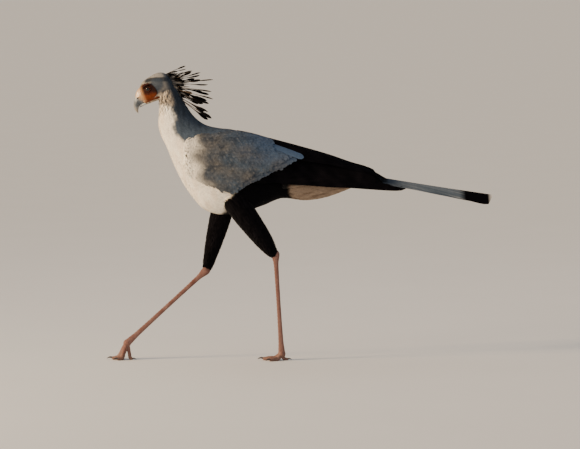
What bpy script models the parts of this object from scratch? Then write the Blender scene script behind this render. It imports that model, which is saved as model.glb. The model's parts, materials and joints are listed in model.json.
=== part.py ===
"""A life-size secretary bird in mid stride, head low, long crest blown back.

The bird walks towards -X with its left side at -Y, and stands on Z = 0. Every size below is in
millimetres, and place() turns it to metres. Body, neck and head are lofts, feathers are thin vanes
laid on the surface they grow from, and each node is joined to one closed body.
"""

import math
import random

import bmesh
import bpy
import numpy as np
from mathutils import Vector

MM = 0.001
GAP = 0.3  # air between touching nodes
FEATHER = 0.7  # thickness of a vane
ALONG_Y = Vector((0, 1, 0))
UP = Vector((0, 0, 1))

# Shift that puts the middle of the finished bird's box on the origin.
CENTRE = Vector((-41.1, 0.0, 0.0))

# Body sections from the head down and back to the tail: the breast side and the back side of each
# section, then its half width.
BODY = [
    (-452, 792, -397, 803, 24),
    (-443, 745, -382, 772, 30),
    (-445, 719, -366, 740, 34),
    (-448, 687, -342, 708, 39),
    (-441, 656, -311, 686, 46),
    (-423, 618, -275, 677, 56),
    (-404, 571, -238, 673, 64),
    (-377, 516, -203, 665, 68),
    (-348, 473, -171, 653, 69),
    (-316, 440, -145, 638, 67),
    (-270, 425, -122, 622, 62),
    (-212, 430, -93, 604, 54),
    (-148, 450, -61, 586, 45),
    (-90, 472, -29, 571, 35),
]
NECK_ENDS = 4.0  # section where the neck passes into the torso
TORSO_ENDS = 13.0
TAIL_BASE = [
    (-90, 472, -29, 571, 35),
    (-26, 466, 9, 562, 27),
    (26, 472, 44, 554, 21),
    (72, 486, 84, 545, 15),
    (113, 503, 125, 535, 9),
    (140, 516, 145, 525, 3),
]

# The head lies along its own axis, nose down. forward and up give its places: crown, throat, half width.
HEAD_MIDDLE = Vector((-455, 0, 795))
HEAD_TILT = math.radians(20)
HEAD = [
    (47.0, 12.5, -39.2, 12.8),
    (41.0, 18.5, -39.4, 16.0),
    (32.0, 25.5, -39.0, 19.8),
    (20.0, 30.5, -38.5, 23.2),
    (6.0, 33.5, -39.0, 26.0),
    (-10.0, 36.5, -40.0, 28.6),
    (-24.0, 35.5, -40.0, 29.0),
    (-36.0, 29.5, -35.0, 26.5),
    (-45.0, 18.0, -24.0, 20.0),
    (-49.5, 5.0, -10.0, 10.0),
]
MOUTH_UP = -31.5
MOUTH_BOW = -1.2
GAPE_FORWARD = -2.0

# Upper bill: ridge point, cutting edge point, half width, each as forward and up on the head's axis.
UPPER_BILL = [
    (47.3, 12.3, 47.3, -31.2, 12.4),
    (56.0, 6.5, 52.0, -31.8, 11.0),
    (65.0, -5.0, 57.0, -33.0, 9.6),
    (73.0, -17.0, 61.5, -35.3, 8.2),
    (78.0, -28.0, 65.5, -39.3, 6.6),
    (79.5, -37.5, 69.0, -44.0, 4.8),
    (78.0, -46.5, 71.5, -49.5, 2.8),
    (74.5, -54.0, 73.0, -54.4, 0.8),
]
LOWER_BILL = [
    (47.3, -31.8, 47.3, -39.0, 10.6),
    (53.0, -32.7, 53.5, -39.6, 8.8),
    (58.5, -35.0, 59.5, -40.2, 5.8),
    (62.0, -38.0, 62.8, -40.6, 2.6),
]
NOSTRIL = (58.5, -13.5)  # forward, up
NOSTRIL_SIZE = (3.4, 1.3)
EYE = (22.0, 2.0, 16.2)  # forward, up, sideways
EYE_RADIUS = 9.4
LID_RADIUS = 8.2
LID_SQUASH = 0.9
LID_WIRE = 1.3
LID_OUT = 0.2

# Cuts that part head, nape and neck. Each is a point and the direction of the side it faces.
NAPE_CUT = (Vector((-422.5, 0, 785)), Vector((0.925, 0, 0.38)).normalized())
NECK_CUT_Z = 739.0

# Crest feathers in ranks down the nape: root x, root z, pitch, length, half width of the club, curl.
CREST = [
    (-431, 829, 19, 72, 3.2, -4),
    (-426, 822, 12, 84, 4.6, 3),
    (-420, 815, 10, 102, 5.6, 9),
    (-417, 808, 0, 134, 6.0, 6),
    (-414, 801, -11, 128, 4.4, 2),
    (-408, 792, -17, 130, 5.4, 1),
    (-402, 782, -21, 112, 6.6, 3),
    (-397, 776, -23, 84, 4.6, 3),
    (-391, 769, -29, 106, 6.8, 3),
    (-386, 763, -33, 118, 7.0, 8),
]
CREST_SPREAD = (3.5, 13.0)  # yaw of the first and last ranks, in degrees
CREST_ROOT_Y = 9.0

# Outline of a folded wing by x: top, lowest edge, half width, how far its top edge is off the middle.
WING = [
    (-381, 612, 590, 50, 44),
    (-374, 631, 566, 59, 50),
    (-342, 658, 535, 73, 50),
    (-287, 667, 515, 83, 36),
    (-229, 670, 496, 88, 16),
    (-183, 663, 489, 88, 5),
    (-125, 647, 486, 84, 2),
    (-38, 624, 496, 75, 2),
    (49, 599, 506, 66, 2),
    (113, 577, 502, 59, 2),
    (160, 563, 497, 54, 2),
    (212, 536, 494, 49, 2),
    (240, 521, 492, 46, 2),
]
WING_WIDEST = 0.55  # height of the widest place between lowest edge and top
WING_TUCK = 0.8  # half width at the lowest edge against the widest
COVERT_DEPTH = 3.0  # core under the outer face that the coverts reach
CORE_THICK = 27.0
CORE_EDGE = 2.5
CORE_LOW_EDGE = (8.0, 26.0)  # thickness along the lower edge, at the front and where flight feathers root
CORE_REAR_X = -36.0
COVERT_LINE = ((-226, 497), (-44, 592))  # where grey coverts end over the black feathers

# Tertials over the back: root x, tip x, height round the wing at root and tip, half width.
TERTIALS = [
    (-118, 88, 0.13, 0.10, 24),
    (-112, 134, 0.22, 0.13, 25),
    (-108, 178, 0.31, 0.15, 25),
    (-104, 219, 0.40, 0.15, 24),
]
TERTIAL_STEP = 1.25
# Secondaries then primaries on a flat plane at the wing's side: root x, z, tip x, z, half width.
SIDE_FEATHERS = [
    (-127, 576, 166, 541, 23),
    (-153, 562, 178, 529, 23),
    (-181, 549, 182, 518, 23),
    (-207, 536, 178, 510, 22),
    (-228, 527, 186, 504, 21),
    (-236, 524, 204, 502, 19),
    (-240, 522, 222, 499, 17),
    (-242, 521, 238, 496, 15),
    (-240, 520, 268, 498, 11),
]
SIDE_PLANE = (75.7, 0.085, 0.208)  # distance out, drawing in to the rear, drawing in to the top
SIDE_PLANE_AT = (-127, 490)
SIDE_UNDER = 6.5  # how far the side feathers lie under the wing's outer face, above its widest place
SIDE_INSIDE = 8.5  # and below it
SIDE_STEP = 1.05
SIDE_THICK = 0.6

# Rows of coverts: distance of the roots ahead of the covert line, length, half width, how many,
# and where along the line the row begins.
COVERTS = [
    (52, 60, 14.0, 9, 0.0),
    (94, 72, 14.5, 8, 0.0),
    (134, 74, 14.5, 6, 0.08),
]
COVERT_FALL = math.radians(27)
COVERT_TILT = 0.9  # each covert lies on the next like a tile
# Shoulder feathers over the wing's top edge: root x, tip x, height round the wing, half width.
SCAPULARS = [
    (-236, -160, 0.08, 14),
    (-206, -122, 0.06, 13),
    (-232, -142, 0.19, 15),
    (-196, -92, 0.17, 13),
]
LONG_COVERT = ((-150, 618), (-26, 594), 10.5)

# Tail: line of its ridge, slope, roof pitch of its feathers.
TAIL_RIDGE = (188.0, 535.5, -0.163)
TAIL_PITCH = math.radians(24)
TAIL_TIP_X = 519.0
OUTER_TAIL = [(214, 15), (202, 14.5), (190, 14), (178, 13.5), (166, 13)]  # tip x, half width
TAIL_STEP = 1.3

# Legs: middle line from hip to ankle, then to the toes' joint, each with its own side of the body.
HIP_Y = 38.0
ANKLE_Y = 25.0
FOOT_Y = 7.0  # a walking bird sets its feet down nearly in one line
NEAR_THIGH = [(-236, 488, 37), (-226, 467, 36), (-184, 409, 33), (-142, 351, 26), (-118, 316, 18)]
FAR_THIGH = [(-254, 492, 35), (-261, 450, 33), (-271, 408, 31), (-286, 352, 26), (-309, 268, 17)]
NEAR_ANKLE = (-109, 311)
NEAR_JOINT = (-91, 19)
FAR_ANKLE = (-312, 259)
FAR_JOINT = (-541, 49)
ANKLE_OVERRUN = 16.0  # thigh and shank both pass the ankle by this, then meet on one cut
BALL_CUT = 7.0  # height of the toes' joint at which the shank ends
SHANK_HALF = 7.2
SCUTES = 12
SCUTE_RAISE = 1.24  # how far the lower edge of a scute stands out against its upper edge

# Toes: turn from straight ahead, length, radius at the root. The last points back.
TOES = [(0, 62, 8.2), (34, 46, 7.4), (-36, 48, 7.4), (168, 22, 5.6)]
CLAW = 15.0
TOE_FLAT = 1.6  # how much of a toe's round is pressed flat
TOE_TIP = 0.62  # radius of the toe's end against its root


def hex_colour(code):
    """The sRGB hex code as a linear colour."""
    parts = [int(code[i : i + 2], 16) / 255 for i in (0, 2, 4)]
    return [p / 12.92 if p <= 0.04045 else ((p + 0.055) / 1.055) ** 2.4 for p in parts] + [1.0]


def material(name, code, roughness):
    made = bpy.data.materials.new(name)
    made.use_nodes = True
    shader = made.node_tree.nodes["Principled BSDF"]
    shader.inputs["Base Color"].default_value = hex_colour(code)
    shader.inputs["Roughness"].default_value = roughness
    shader.inputs["Metallic"].default_value = 0.0
    return made


def smooth(stations, at):
    """The row of values at a place along stations, whose first value is the place, with no kinks."""
    table = np.array(stations, float)
    places, values = table[:, 0], table[:, 1:]
    at = min(max(at, places[0]), places[-1])
    i = min(int(np.searchsorted(places, at, side="right")) - 1, len(places) - 2)
    slopes = np.gradient(values, places, axis=0)
    span = places[i + 1] - places[i]
    t = (at - places[i]) / span
    return (
        (2 * t**3 - 3 * t**2 + 1) * values[i]
        + (t**3 - 2 * t**2 + t) * span * slopes[i]
        + (3 * t**2 - 2 * t**3) * values[i + 1]
        + (t**3 - t**2) * span * slopes[i + 1]
    )


def numbered(rows):
    """Stations placed at 0, 1, 2 and so on."""
    return [(i, *row) for i, row in enumerate(rows)]


def solid(name, points, faces):
    """An object from points in millimetres, with its faces turned outwards."""
    mesh = bpy.data.meshes.new(name)
    mesh.from_pydata([(Vector(p) - CENTRE) * MM for p in points], [], faces)
    bm = bmesh.new()
    bm.from_mesh(mesh)
    bmesh.ops.recalc_face_normals(bm, faces=bm.faces)
    if bm.calc_volume(signed=True) < 0:
        bmesh.ops.reverse_faces(bm, faces=bm.faces)
    bm.to_mesh(mesh)
    bm.free()
    obj = bpy.data.objects.new(name, mesh)
    bpy.context.scene.collection.objects.link(obj)
    return obj


def loft(name, rings):
    """A closed solid through rings of equally many points."""
    count = len(rings[0])
    points = [p for ring in rings for p in ring]
    faces = [tuple(range(count)), tuple(range(len(points) - count, len(points)))]
    for i in range(len(rings) - 1):
        for j in range(count):
            a, b = i * count + j, i * count + (j + 1) % count
            faces += [(a, b, b + count), (a, b + count, a + count)]
    return solid(name, points, faces)


def ellipse(centre, axis, side, reach, half, sides):
    """A ring round centre: reach along axis, half along side."""
    turns = [2 * math.pi * (i + 0.5) / sides for i in range(sides)]
    return [centre + axis * reach * math.cos(t) + side * half * math.sin(t) for t in turns]


def body_ring(stations, at, sides, grow=0.0):
    front_x, front_z, back_x, back_z, half = smooth(numbered(stations), at)
    front, back = Vector((front_x, 0, front_z)), Vector((back_x, 0, back_z))
    axis = (back - front) / 2
    reach = axis.length + grow
    return ellipse((front + back) / 2, axis.normalized(), ALONG_Y, reach, half + grow, sides)


def body_loft(name, stations, start, end, steps, sides, grow=0.0, back_off=0.0):
    """The body between two sections. back_off moves the first ring on, to leave a gap."""
    places = [start + (end - start) * i / steps for i in range(steps + 1)]
    rings = [body_ring(stations, at, sides, grow) for at in places]
    if back_off:
        shift = (sum(rings[1], Vector()) - sum(rings[0], Vector())).normalized() * back_off
        rings[0] = [p + shift for p in rings[0]]
    return loft(name, rings)


def torso(name, grow=0.0):
    """The trunk. Grown by a gap, it is what wings and thighs are cut back to."""
    return body_loft(name, BODY, NECK_ENDS, TORSO_ENDS, 18, 20, grow, 0.0 if grow else GAP)


def tube(name, line, halves, sides, reference=ALONG_Y, tall=None, floor=False):
    """A round limb along line. halves are along reference, tall (or the same) across it."""
    tall = tall or halves
    rings = []
    for i, centre in enumerate(line):
        ahead = line[min(i + 1, len(line) - 1)] - line[max(i - 1, 0)]
        side = (reference - ahead * reference.dot(ahead) / ahead.length_squared).normalized()
        across = ahead.normalized().cross(side)
        ring = ellipse(centre, across, side, tall[i], halves[i], sides)
        if floor:
            ring = [Vector((p.x, p.y, max(p.z, 0.0))) for p in ring]
        rings.append(ring)
    return loft(name, rings)


def ball(name, centre, sizes, turn=None, segments=12, rings=8):
    """A round or long ball. turn is the direction of its first size."""
    ahead = (turn or Vector((1, 0, 0))).normalized()
    side = ALONG_Y - ahead * ALONG_Y.dot(ahead)
    side = side.normalized() if side.length > 0.1 else UP
    up = ahead.cross(side)
    bm = bmesh.new()
    bmesh.ops.create_uvsphere(bm, u_segments=segments, v_segments=rings, radius=1.0)
    points = [
        centre + ahead * v.co.x * sizes[0] + side * v.co.y * sizes[1] + up * v.co.z * sizes[2]
        for v in bm.verts
    ]
    bm.verts.index_update()
    faces = [tuple(v.index for v in f.verts) for f in bm.faces]
    bm.free()
    return solid(name, points, faces)


def vane(name, rows, thick=FEATHER):
    """A thin closed blade. rows run root to tip, and each holds (point, normal) pairs across it.

    Both faces are split along the same diagonals, so they never cross where the blade curves.
    """
    across = len(rows[0])
    points = []
    for row in rows:
        points += [p + n * thick / 2 for p, n in row]
        points += [p - n * thick / 2 for p, n in row]
    faces = []

    def quad(a, b, c, d):
        faces.extend([(a, b, c), (a, c, d)])

    def top(i, j):
        return i * 2 * across + j

    def low(i, j):
        return top(i, j) + across

    last = len(rows) - 1
    for i in range(last):
        for j in range(across - 1):
            quad(top(i, j), top(i, j + 1), top(i + 1, j + 1), top(i + 1, j))
            faces.append((low(i, j), low(i + 1, j + 1), low(i, j + 1)))
            faces.append((low(i, j), low(i + 1, j), low(i + 1, j + 1)))
        quad(top(i, 0), top(i + 1, 0), low(i + 1, 0), low(i, 0))
        end = across - 1
        quad(top(i, end), low(i, end), low(i + 1, end), top(i + 1, end))
    for j in range(across - 1):
        quad(top(0, j), low(0, j), low(0, j + 1), top(0, j + 1))
        quad(top(last, j), top(last, j + 1), low(last, j + 1), low(last, j))
    return solid(name, points, faces)


def laid_vane(name, surface, start, end, half, shape, columns, depth_at, tilt=0.0, thick=FEATHER):
    """A vane on a surface(a, b), from start to end in the surface's own places.

    shape is (share of the length, share of half) root to tip, depth_at(share) how deep it lies, and
    tilt how much deeper its one edge is.
    """
    rows = []
    step = 0.5
    for share, width in shape:
        a = start[0] + (end[0] - start[0]) * share
        b = start[1] + (end[1] - start[1]) * share
        here = surface(a, b)[0]
        reach_a = (surface(a + step, b)[0] - here) / step
        small = step * 0.002
        reach_b = (surface(a, b + small)[0] - here) / small
        run = reach_a * (end[0] - start[0]) + reach_b * (end[1] - start[1])
        run_a = (end[0] - start[0]) * reach_a.length / run.length
        run_b = (end[1] - start[1]) * reach_b.length / run.length
        row = []
        for j in range(columns):
            place = 2 * j / (columns - 1) - 1
            off = half * width * place
            point, normal = surface(a - off * run_b / reach_a.length, b + off * run_a / reach_b.length)
            row.append((point - normal * (depth_at(share) + tilt * place), normal))
        rows.append(row)
    return vane(name, rows, thick)


def fuse(name, pieces, solver="EXACT"):
    """Joins closed pieces to one body and keeps its largest closed surface."""
    base, *others = pieces
    if others:
        group = bpy.data.collections.new(name + "_pieces")
        bpy.context.scene.collection.children.link(group)
        for piece in others:
            bpy.context.scene.collection.objects.unlink(piece)
            group.objects.link(piece)
        join = base.modifiers.new("join", "BOOLEAN")
        join.operation = "UNION"
        join.operand_type = "COLLECTION"
        join.collection = group
        join.solver = solver
        applied(base)
        for piece in others:
            bpy.data.objects.remove(piece)
        bpy.data.collections.remove(group)
    base.name = name
    keep_largest(base)
    return base


def carve(obj, cutter, solver="MANIFOLD"):
    """Cuts cutter out of obj, then removes it."""
    cut = obj.modifiers.new("cut", "BOOLEAN")
    cut.operation = "DIFFERENCE"
    cut.object = cutter
    cut.solver = solver
    applied(obj)
    bpy.data.objects.remove(cutter)
    keep_largest(obj)
    return obj


def applied(obj):
    """Turns the object's modifiers into its mesh."""
    graph = bpy.context.evaluated_depsgraph_get()
    graph.update()
    mesh = bpy.data.meshes.new_from_object(obj.evaluated_get(graph))
    obj.modifiers.clear()
    obj.data = mesh


def keep_largest(obj):
    """Drops all but the largest closed surface of the mesh."""
    bm = bmesh.new()
    bm.from_mesh(obj.data)
    left = set(bm.verts)
    shells = []
    while left:
        shell, edge = set(), [left.pop()]
        while edge:
            v = edge.pop()
            shell.add(v)
            near = {e.other_vert(v) for e in v.link_edges} & left
            left -= near
            edge += near
        shells.append(shell)
    if len(shells) > 1:
        def room(shell):
            low = [min(v.co[i] for v in shell) for i in range(3)]
            high = [max(v.co[i] for v in shell) for i in range(3)]
            return math.prod(h - lo for h, lo in zip(high, low))

        largest = max(shells, key=room)
        bmesh.ops.delete(bm, geom=[v for v in bm.verts if v not in largest], context="VERTS")
        bm.to_mesh(obj.data)
    bm.free()


def sliced(obj, point, facing):
    """Cuts away what lies in the facing direction from point, and closes the object there."""
    bm = bmesh.new()
    bm.from_mesh(obj.data)
    bmesh.ops.bisect_plane(
        bm,
        geom=bm.verts[:] + bm.edges[:] + bm.faces[:],
        dist=1e-7,
        plane_co=(point - CENTRE) * MM,
        plane_no=facing,
        clear_outer=True,
    )
    bmesh.ops.holes_fill(bm, edges=[e for e in bm.edges if e.is_boundary], sides=0)
    bmesh.ops.recalc_face_normals(bm, faces=bm.faces)
    bm.to_mesh(obj.data)
    bm.free()
    return obj


def copied(obj, name):
    copy = bpy.data.objects.new(name, obj.data.copy())
    bpy.context.scene.collection.objects.link(copy)
    return copy


def mirrored(obj, name):
    """A copy on the bird's other side."""
    copy = copied(obj, name)
    bm = bmesh.new()
    bm.from_mesh(copy.data)
    for v in bm.verts:
        v.co.y = -v.co.y
    bmesh.ops.reverse_faces(bm, faces=bm.faces)
    bm.to_mesh(copy.data)
    bm.free()
    return copy


def finish(obj, name, look):
    """Names a node, gives it its material and smooth shading."""
    obj.name = name
    obj.data.name = name
    obj.data.materials.clear()
    obj.data.materials.append(look)
    obj.data.shade_smooth()
    obj.data.set_sharp_from_angle(angle=math.radians(35))


# Head

HEAD_FORWARD = Vector((-math.cos(HEAD_TILT), 0, -math.sin(HEAD_TILT)))
HEAD_UP = Vector((-math.sin(HEAD_TILT), 0, math.cos(HEAD_TILT)))


def on_head(forward, up, sideways=0.0):
    return HEAD_MIDDLE + HEAD_FORWARD * forward + HEAD_UP * up + ALONG_Y * sideways


def head_loft(steps=18, sides=20):
    stations = [(-f, top, low, half) for f, top, low, half in HEAD]
    first, last = stations[0][0], stations[-1][0]
    rings = []
    for i in range(steps + 1):
        place = first + (last - first) * i / steps
        top, low, half = smooth(stations, place)
        centre = on_head(-place, (top + low) / 2)
        rings.append(ellipse(centre, HEAD_UP, ALONG_Y, (top - low) / 2, half, sides))
    return loft("head", rings)


def bill(name, stations, steps, sides, ridge):
    """A bill half through sections given by an upper and a lower point. ridge narrows its top."""
    rings = []
    for i in range(steps + 1):
        at = (len(stations) - 1) * i / steps
        top_f, top_u, low_f, low_u, half = smooth(numbered(stations), at)
        top, low = on_head(top_f, top_u), on_head(low_f, low_u)
        axis = (top - low) / 2
        ring = []
        for j in range(sides):
            turn = 2 * math.pi * (j + 0.5) / sides
            narrow = 1.0 - ridge * max(0.0, math.cos(turn)) ** 1.5
            side = ALONG_Y * half * math.sin(turn) * narrow
            ring.append((top + low) / 2 + axis * math.cos(turn) + side)
        rings.append(ring)
    return loft(name, rings)


def nostril(side):
    centre = on_head(*NOSTRIL, side * 9.5)
    long, thin = NOSTRIL_SIZE
    return ball("nostril", centre, (long, 4.0, thin), HEAD_FORWARD - HEAD_UP * 0.5, 8, 6)


def mouth_groove(side):
    """A thin wedge that cuts the line of the mouth back to under the eye."""
    rings = []
    for forward, deep in ((52, 1.6), (38, 1.8), (24, 1.8), (10, 1.6), (GAPE_FORWARD, 0.2)):
        up = MOUTH_UP + MOUTH_BOW * math.sin(math.pi * (50 - forward) / 55)
        inner = cheek(forward, up) - deep
        rings.append(
            [
                on_head(forward, up + 2.4, side * (inner + 5)),
                on_head(forward, up - 2.4, side * (inner + 5)),
                on_head(forward, up, side * inner),
            ]
        )
    return loft("mouth_groove", rings)


def cheek(forward, up):
    """Half width of the head at a place on its side."""
    stations = [(-f, top, low, half) for f, top, low, half in HEAD]
    top, low, half = smooth(stations, -forward)
    high = (up - (top + low) / 2) / ((top - low) / 2)
    return half * math.sqrt(max(0.0, 1 - high * high))


def eyelid(side):
    """A raised rim round the eye that follows the cheek."""
    around, sides = 14, 6
    rings = []
    for i in range(around):
        turn = 2 * math.pi * i / around
        away = (HEAD_FORWARD * math.cos(turn) + HEAD_UP * math.sin(turn)).normalized()
        forward = EYE[0] + math.cos(turn) * LID_RADIUS
        up = EYE[1] + math.sin(turn) * LID_RADIUS * LID_SQUASH
        middle = on_head(forward, up, side * (cheek(forward, up) + LID_OUT))
        rings.append(ellipse(middle, away, ALONG_Y, LID_WIRE, LID_WIRE * 1.5, sides))
    points = [p for ring in rings for p in ring]
    faces = []
    for i in range(around):
        for j in range(sides):
            k, m = (i + 1) % around, (j + 1) % sides
            faces.append((i * sides + j, i * sides + m, k * sides + m, k * sides + j))
    return solid("eyelid", points, faces)


def brow(side):
    """The bony ridge that shades the eye."""
    line = [
        on_head(f, u, side * y)
        for f, u, y in ((39, 7.5, 13.0), (31, 11.8, 19.0), (21, 14.0, 22.3), (11, 13.4, 23.4), (2, 11, 21.5))
    ]
    return tube("brow", line, [1.6, 2.6, 3.0, 2.4, 1.4], 8)


def head_and_neck():
    """Head, nape and neck, cut from one skin."""
    neck = body_loft("neck", BODY, 0.0, NECK_ENDS, 9, 20)
    skin = fuse("skin", [head_loft(), neck])
    nape_point, nape_facing = NAPE_CUT
    neck_point = Vector((0, 0, NECK_CUT_Z))
    half = GAP / 2
    neck = sliced(copied(skin, "neck_skin"), neck_point - UP * half, UP)
    sliced(skin, neck_point + UP * half, -UP)
    nape = sliced(copied(skin, "nape_skin"), nape_point + nape_facing * half, -nape_facing)
    head = sliced(skin, nape_point - nape_facing * half, nape_facing)
    head = fuse("head", [head, *(f(s) for f in (eyelid, brow) for s in (-1, 1))])
    for side in (-1, 1):
        carve(head, eye(side, EYE_RADIUS + GAP))
        carve(head, mouth_groove(side))
    return head, nape, neck


def eye(side, radius=EYE_RADIUS, segments=12, rings=8):
    centre = on_head(EYE[0], EYE[1], side * EYE[2])
    return ball("eye", centre, (radius, radius, radius), None, segments, rings)


def upper_bill():
    made = bill("bill_upper", UPPER_BILL, 10, 14, 0.45)
    for side in (-1, 1):
        carve(made, nostril(side))
    return made


# Crest

CREST_SHAPE = [(0, 0.24), (0.34, 0.22), (0.58, 0.36), (0.78, 1.0), (0.93, 0.82), (1.0, 0.25)]


def crest_feather(rank, side, draw):
    """One long feather with a narrow shaft and a club end, curling as its rank does."""
    root_x, root_z, pitch, length, club, curl = CREST[rank]
    share = rank / (len(CREST) - 1)
    yaw = CREST_SPREAD[0] + (CREST_SPREAD[1] - CREST_SPREAD[0]) * share
    yaw = math.radians(yaw * draw.uniform(0.75, 1.3)) * side
    lift = math.radians(pitch + (1.5 + draw.uniform(0, 3)) * (1 if side < 0 else -1))
    length *= 1.0 if side < 0 else draw.uniform(0.86, 0.97)
    ahead = Vector((math.cos(lift) * math.cos(yaw), math.sin(yaw), math.sin(lift)))
    flat = Vector((0, side, 0))
    roll = math.radians(draw.uniform(18, 50)) * side
    out = ahead.cross(flat).normalized()
    across = flat * math.cos(roll) + out * math.sin(roll)
    across = (across - ahead * across.dot(ahead)).normalized()
    bend = UP - ahead * UP.dot(ahead)
    root = Vector((root_x, side * CREST_ROOT_Y * (0.45 + 0.55 * share), root_z))
    rows = []
    for along, width in CREST_SHAPE:
        middle = root + ahead * length * along + bend * curl * (along**2 - along)
        normal = ahead.cross(across).normalized()
        half = club * width
        rows.append([(middle - across * half, normal), (middle + across * half, normal)])
    return vane("crest_feather", rows, 1.0)


def crest(nape):
    draw = random.Random(7)
    feathers = [crest_feather(r, s, draw) for r in range(len(CREST)) for s in (-1, 1)]
    return fuse("crest", [nape, *feathers])


# Wings

FLIGHT_SHAPE = [(0, 0.5), (0.28, 0.9), (0.7, 1.0), (0.92, 0.66), (1.0, 0.2)]
COVERT_SHAPE = [(0, 0.5), (0.45, 1.0), (0.8, 0.92), (1.0, 0.4)]


def wing_angles(x):
    """What wing_point needs at x: heights, half width and the turns where the wing starts and ends."""
    top, bottom, half, inner = smooth(WING, x)
    middle = bottom + WING_WIDEST * (top - bottom)
    start = math.asin(min(inner / half, 0.95))
    end = math.pi - math.asin(WING_TUCK)
    rise = (top - middle) / math.cos(start)
    drop = (bottom - middle) / math.cos(end)
    return middle, half, start, end, rise, drop


def wing_point(x, down):
    """The left wing's outer face. down runs from 0 at the back's ridge to 1 at the lowest edge."""
    middle, half, start, end, rise, drop = wing_angles(x)
    turn = start + (end - start) * down
    height = rise if turn < math.pi / 2 else drop
    return Vector((x, -half * math.sin(turn), middle + height * math.cos(turn)))


def wing_surface(x, down):
    """A point of the wing's outer face, kept on its own side of the back, and the way out."""
    step = 0.01
    down = max(down, 0.0)
    here = wing_point(x, down)
    along = wing_point(x + 1.0, down) - wing_point(x - 1.0, down)
    round_it = wing_point(x, down + step) - wing_point(x, down - step)
    normal = round_it.cross(along).normalized()
    return here, normal if normal.y < 0 or abs(normal.y) < abs(normal.z) and normal.z > 0 else -normal


def down_at(x, z):
    """How far round the wing a height is."""
    middle, _, start, end, rise, drop = wing_angles(x)
    height = rise if z > middle else drop
    turn = math.acos(max(-1.0, min(1.0, (z - middle) / height)))
    return (turn - start) / (end - start)


def side_plane(x, z):
    """The flat that the folded secondaries and primaries lie on, kept under the wing's outer face."""
    out, draw_in, lean = SIDE_PLANE
    flat = out - draw_in * (x - SIDE_PLANE_AT[0]) - lean * (z - SIDE_PLANE_AT[1])
    middle, half = wing_angles(x)[:2]
    room = half - SIDE_INSIDE
    if z > middle:
        here, normal = wing_surface(x, down_at(x, z))
        room = min(room, -here.y - SIDE_UNDER / max(0.35, -normal.y))
    return Vector((x, -min(flat, room), z)), Vector((-draw_in, -1, -lean)).normalized()


def covert_line_z(x):
    (x0, z0), (x1, z1) = COVERT_LINE
    return z0 + (z1 - z0) * (x - x0) / (x1 - x0)


def wing_core(steps=12, across=7):
    """The folded arm under the coverts: a lens that follows the wing's outer face."""
    first = WING[0][0]
    rings = []
    for i in range(steps + 1):
        share = i / steps
        x = first + (CORE_REAR_X - first) * share
        lowest = max(covert_line_z(x), smooth(WING, x)[1])
        end = down_at(x, lowest)
        ends_thick = min(1.0, 5.0 * share + 0.15, 3.0 * (1 - share) + 0.22)
        front_edge, rear_edge = CORE_LOW_EDGE
        low_edge = front_edge + (rear_edge - front_edge) * min(1.0, max(0.0, (x + 230) / 80))
        outer, inner = [], []
        for j in range(across + 1):
            down = end * j / across
            point, normal = wing_surface(x, down)
            thick = CORE_EDGE + CORE_THICK * math.sin(math.pi * j / across) ** 0.6
            thick = max(thick, low_edge * min(1.0, 2 * j / across))
            outer.append(point - normal * COVERT_DEPTH)
            inner.append(point - normal * (COVERT_DEPTH + thick * ends_thick))
        rings.append(outer + inner[::-1])
    return loft("wing_core", rings)


def coverts():
    """Rows of short overlapping feathers, each rooted in the core and rising over the next row."""
    made = []
    (x0, z0), (x1, z1) = COVERT_LINE
    ahead = (math.cos(COVERT_FALL), -math.sin(COVERT_FALL))
    for back, length, half, count, begins in COVERTS:
        for i in range(count):
            q = begins + (1 - begins) * (i + 0.5) / count
            end_x, end_z = x0 + (x1 - x0) * q, z0 + (z1 - z0) * q
            start_x, start_z = end_x - ahead[0] * back, end_z - ahead[1] * back
            tip_x, tip_z = start_x + ahead[0] * length, start_z + ahead[1] * length
            start = (start_x, down_at(start_x, start_z))
            tip = (tip_x, down_at(tip_x, tip_z))

            def rising(share):
                return 6.5 - 6.2 * share

            made.append(
                laid_vane("covert", wing_surface, start, tip, half, COVERT_SHAPE, 2, rising, COVERT_TILT)
            )
    return made


def scapulars():
    made = []
    for start_x, tip_x, down, half in SCAPULARS:
        start, tip = (start_x, down), (tip_x, down * 0.9)
        made.append(
            laid_vane("scapular", wing_surface, start, tip, half, COVERT_SHAPE, 2, lambda s: 6.5 - 6.5 * s)
        )
    (x0, z0), (x1, z1), half = LONG_COVERT
    start, tip = (x0, down_at(x0, z0)), (x1, down_at(x1, z1))
    made.append(
        laid_vane("long_covert", wing_surface, start, tip, half, COVERT_SHAPE, 2, lambda s: 6.0 - 5.5 * s)
    )
    return made


def tertials():
    """Black feathers that roof the rump, the first on top and the last deepest."""
    made = []
    for i, (root_x, tip_x, root_down, tip_down, half) in enumerate(TERTIALS):
        lies = 0.8 + TERTIAL_STEP * i

        def depth(share, lies=lies):
            return lies + max(0.0, 6.5 - lies) * max(0.0, 1 - share / 0.2)

        made.append(
            laid_vane(
                "tertial", wing_surface, (root_x, root_down), (tip_x, tip_down), half, FLIGHT_SHAPE, 3, depth
            )
        )
    return made


def side_feathers():
    """Secondaries and primaries, each on a flat of its own behind the one above."""
    made = []
    for i, (root_x, root_z, tip_x, tip_z, half) in enumerate(SIDE_FEATHERS):
        depth = i * SIDE_STEP
        made.append(
            laid_vane(
                "side_feather",
                side_plane,
                (root_x, root_z),
                (tip_x, tip_z),
                half,
                FLIGHT_SHAPE,
                2,
                lambda share, depth=depth: depth,
                thick=SIDE_THICK,
            )
        )
    return made


def left_wing():
    pieces = [wing_core(), *coverts(), *scapulars(), *tertials(), *side_feathers()]
    wing = fuse("wing_left", pieces)
    return carve(wing, torso("torso_room", GAP))


# Tail


def tail_ridge(x):
    x0, z0, slope = TAIL_RIDGE
    return Vector((x, 0, z0 + slope * (x - x0)))


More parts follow.
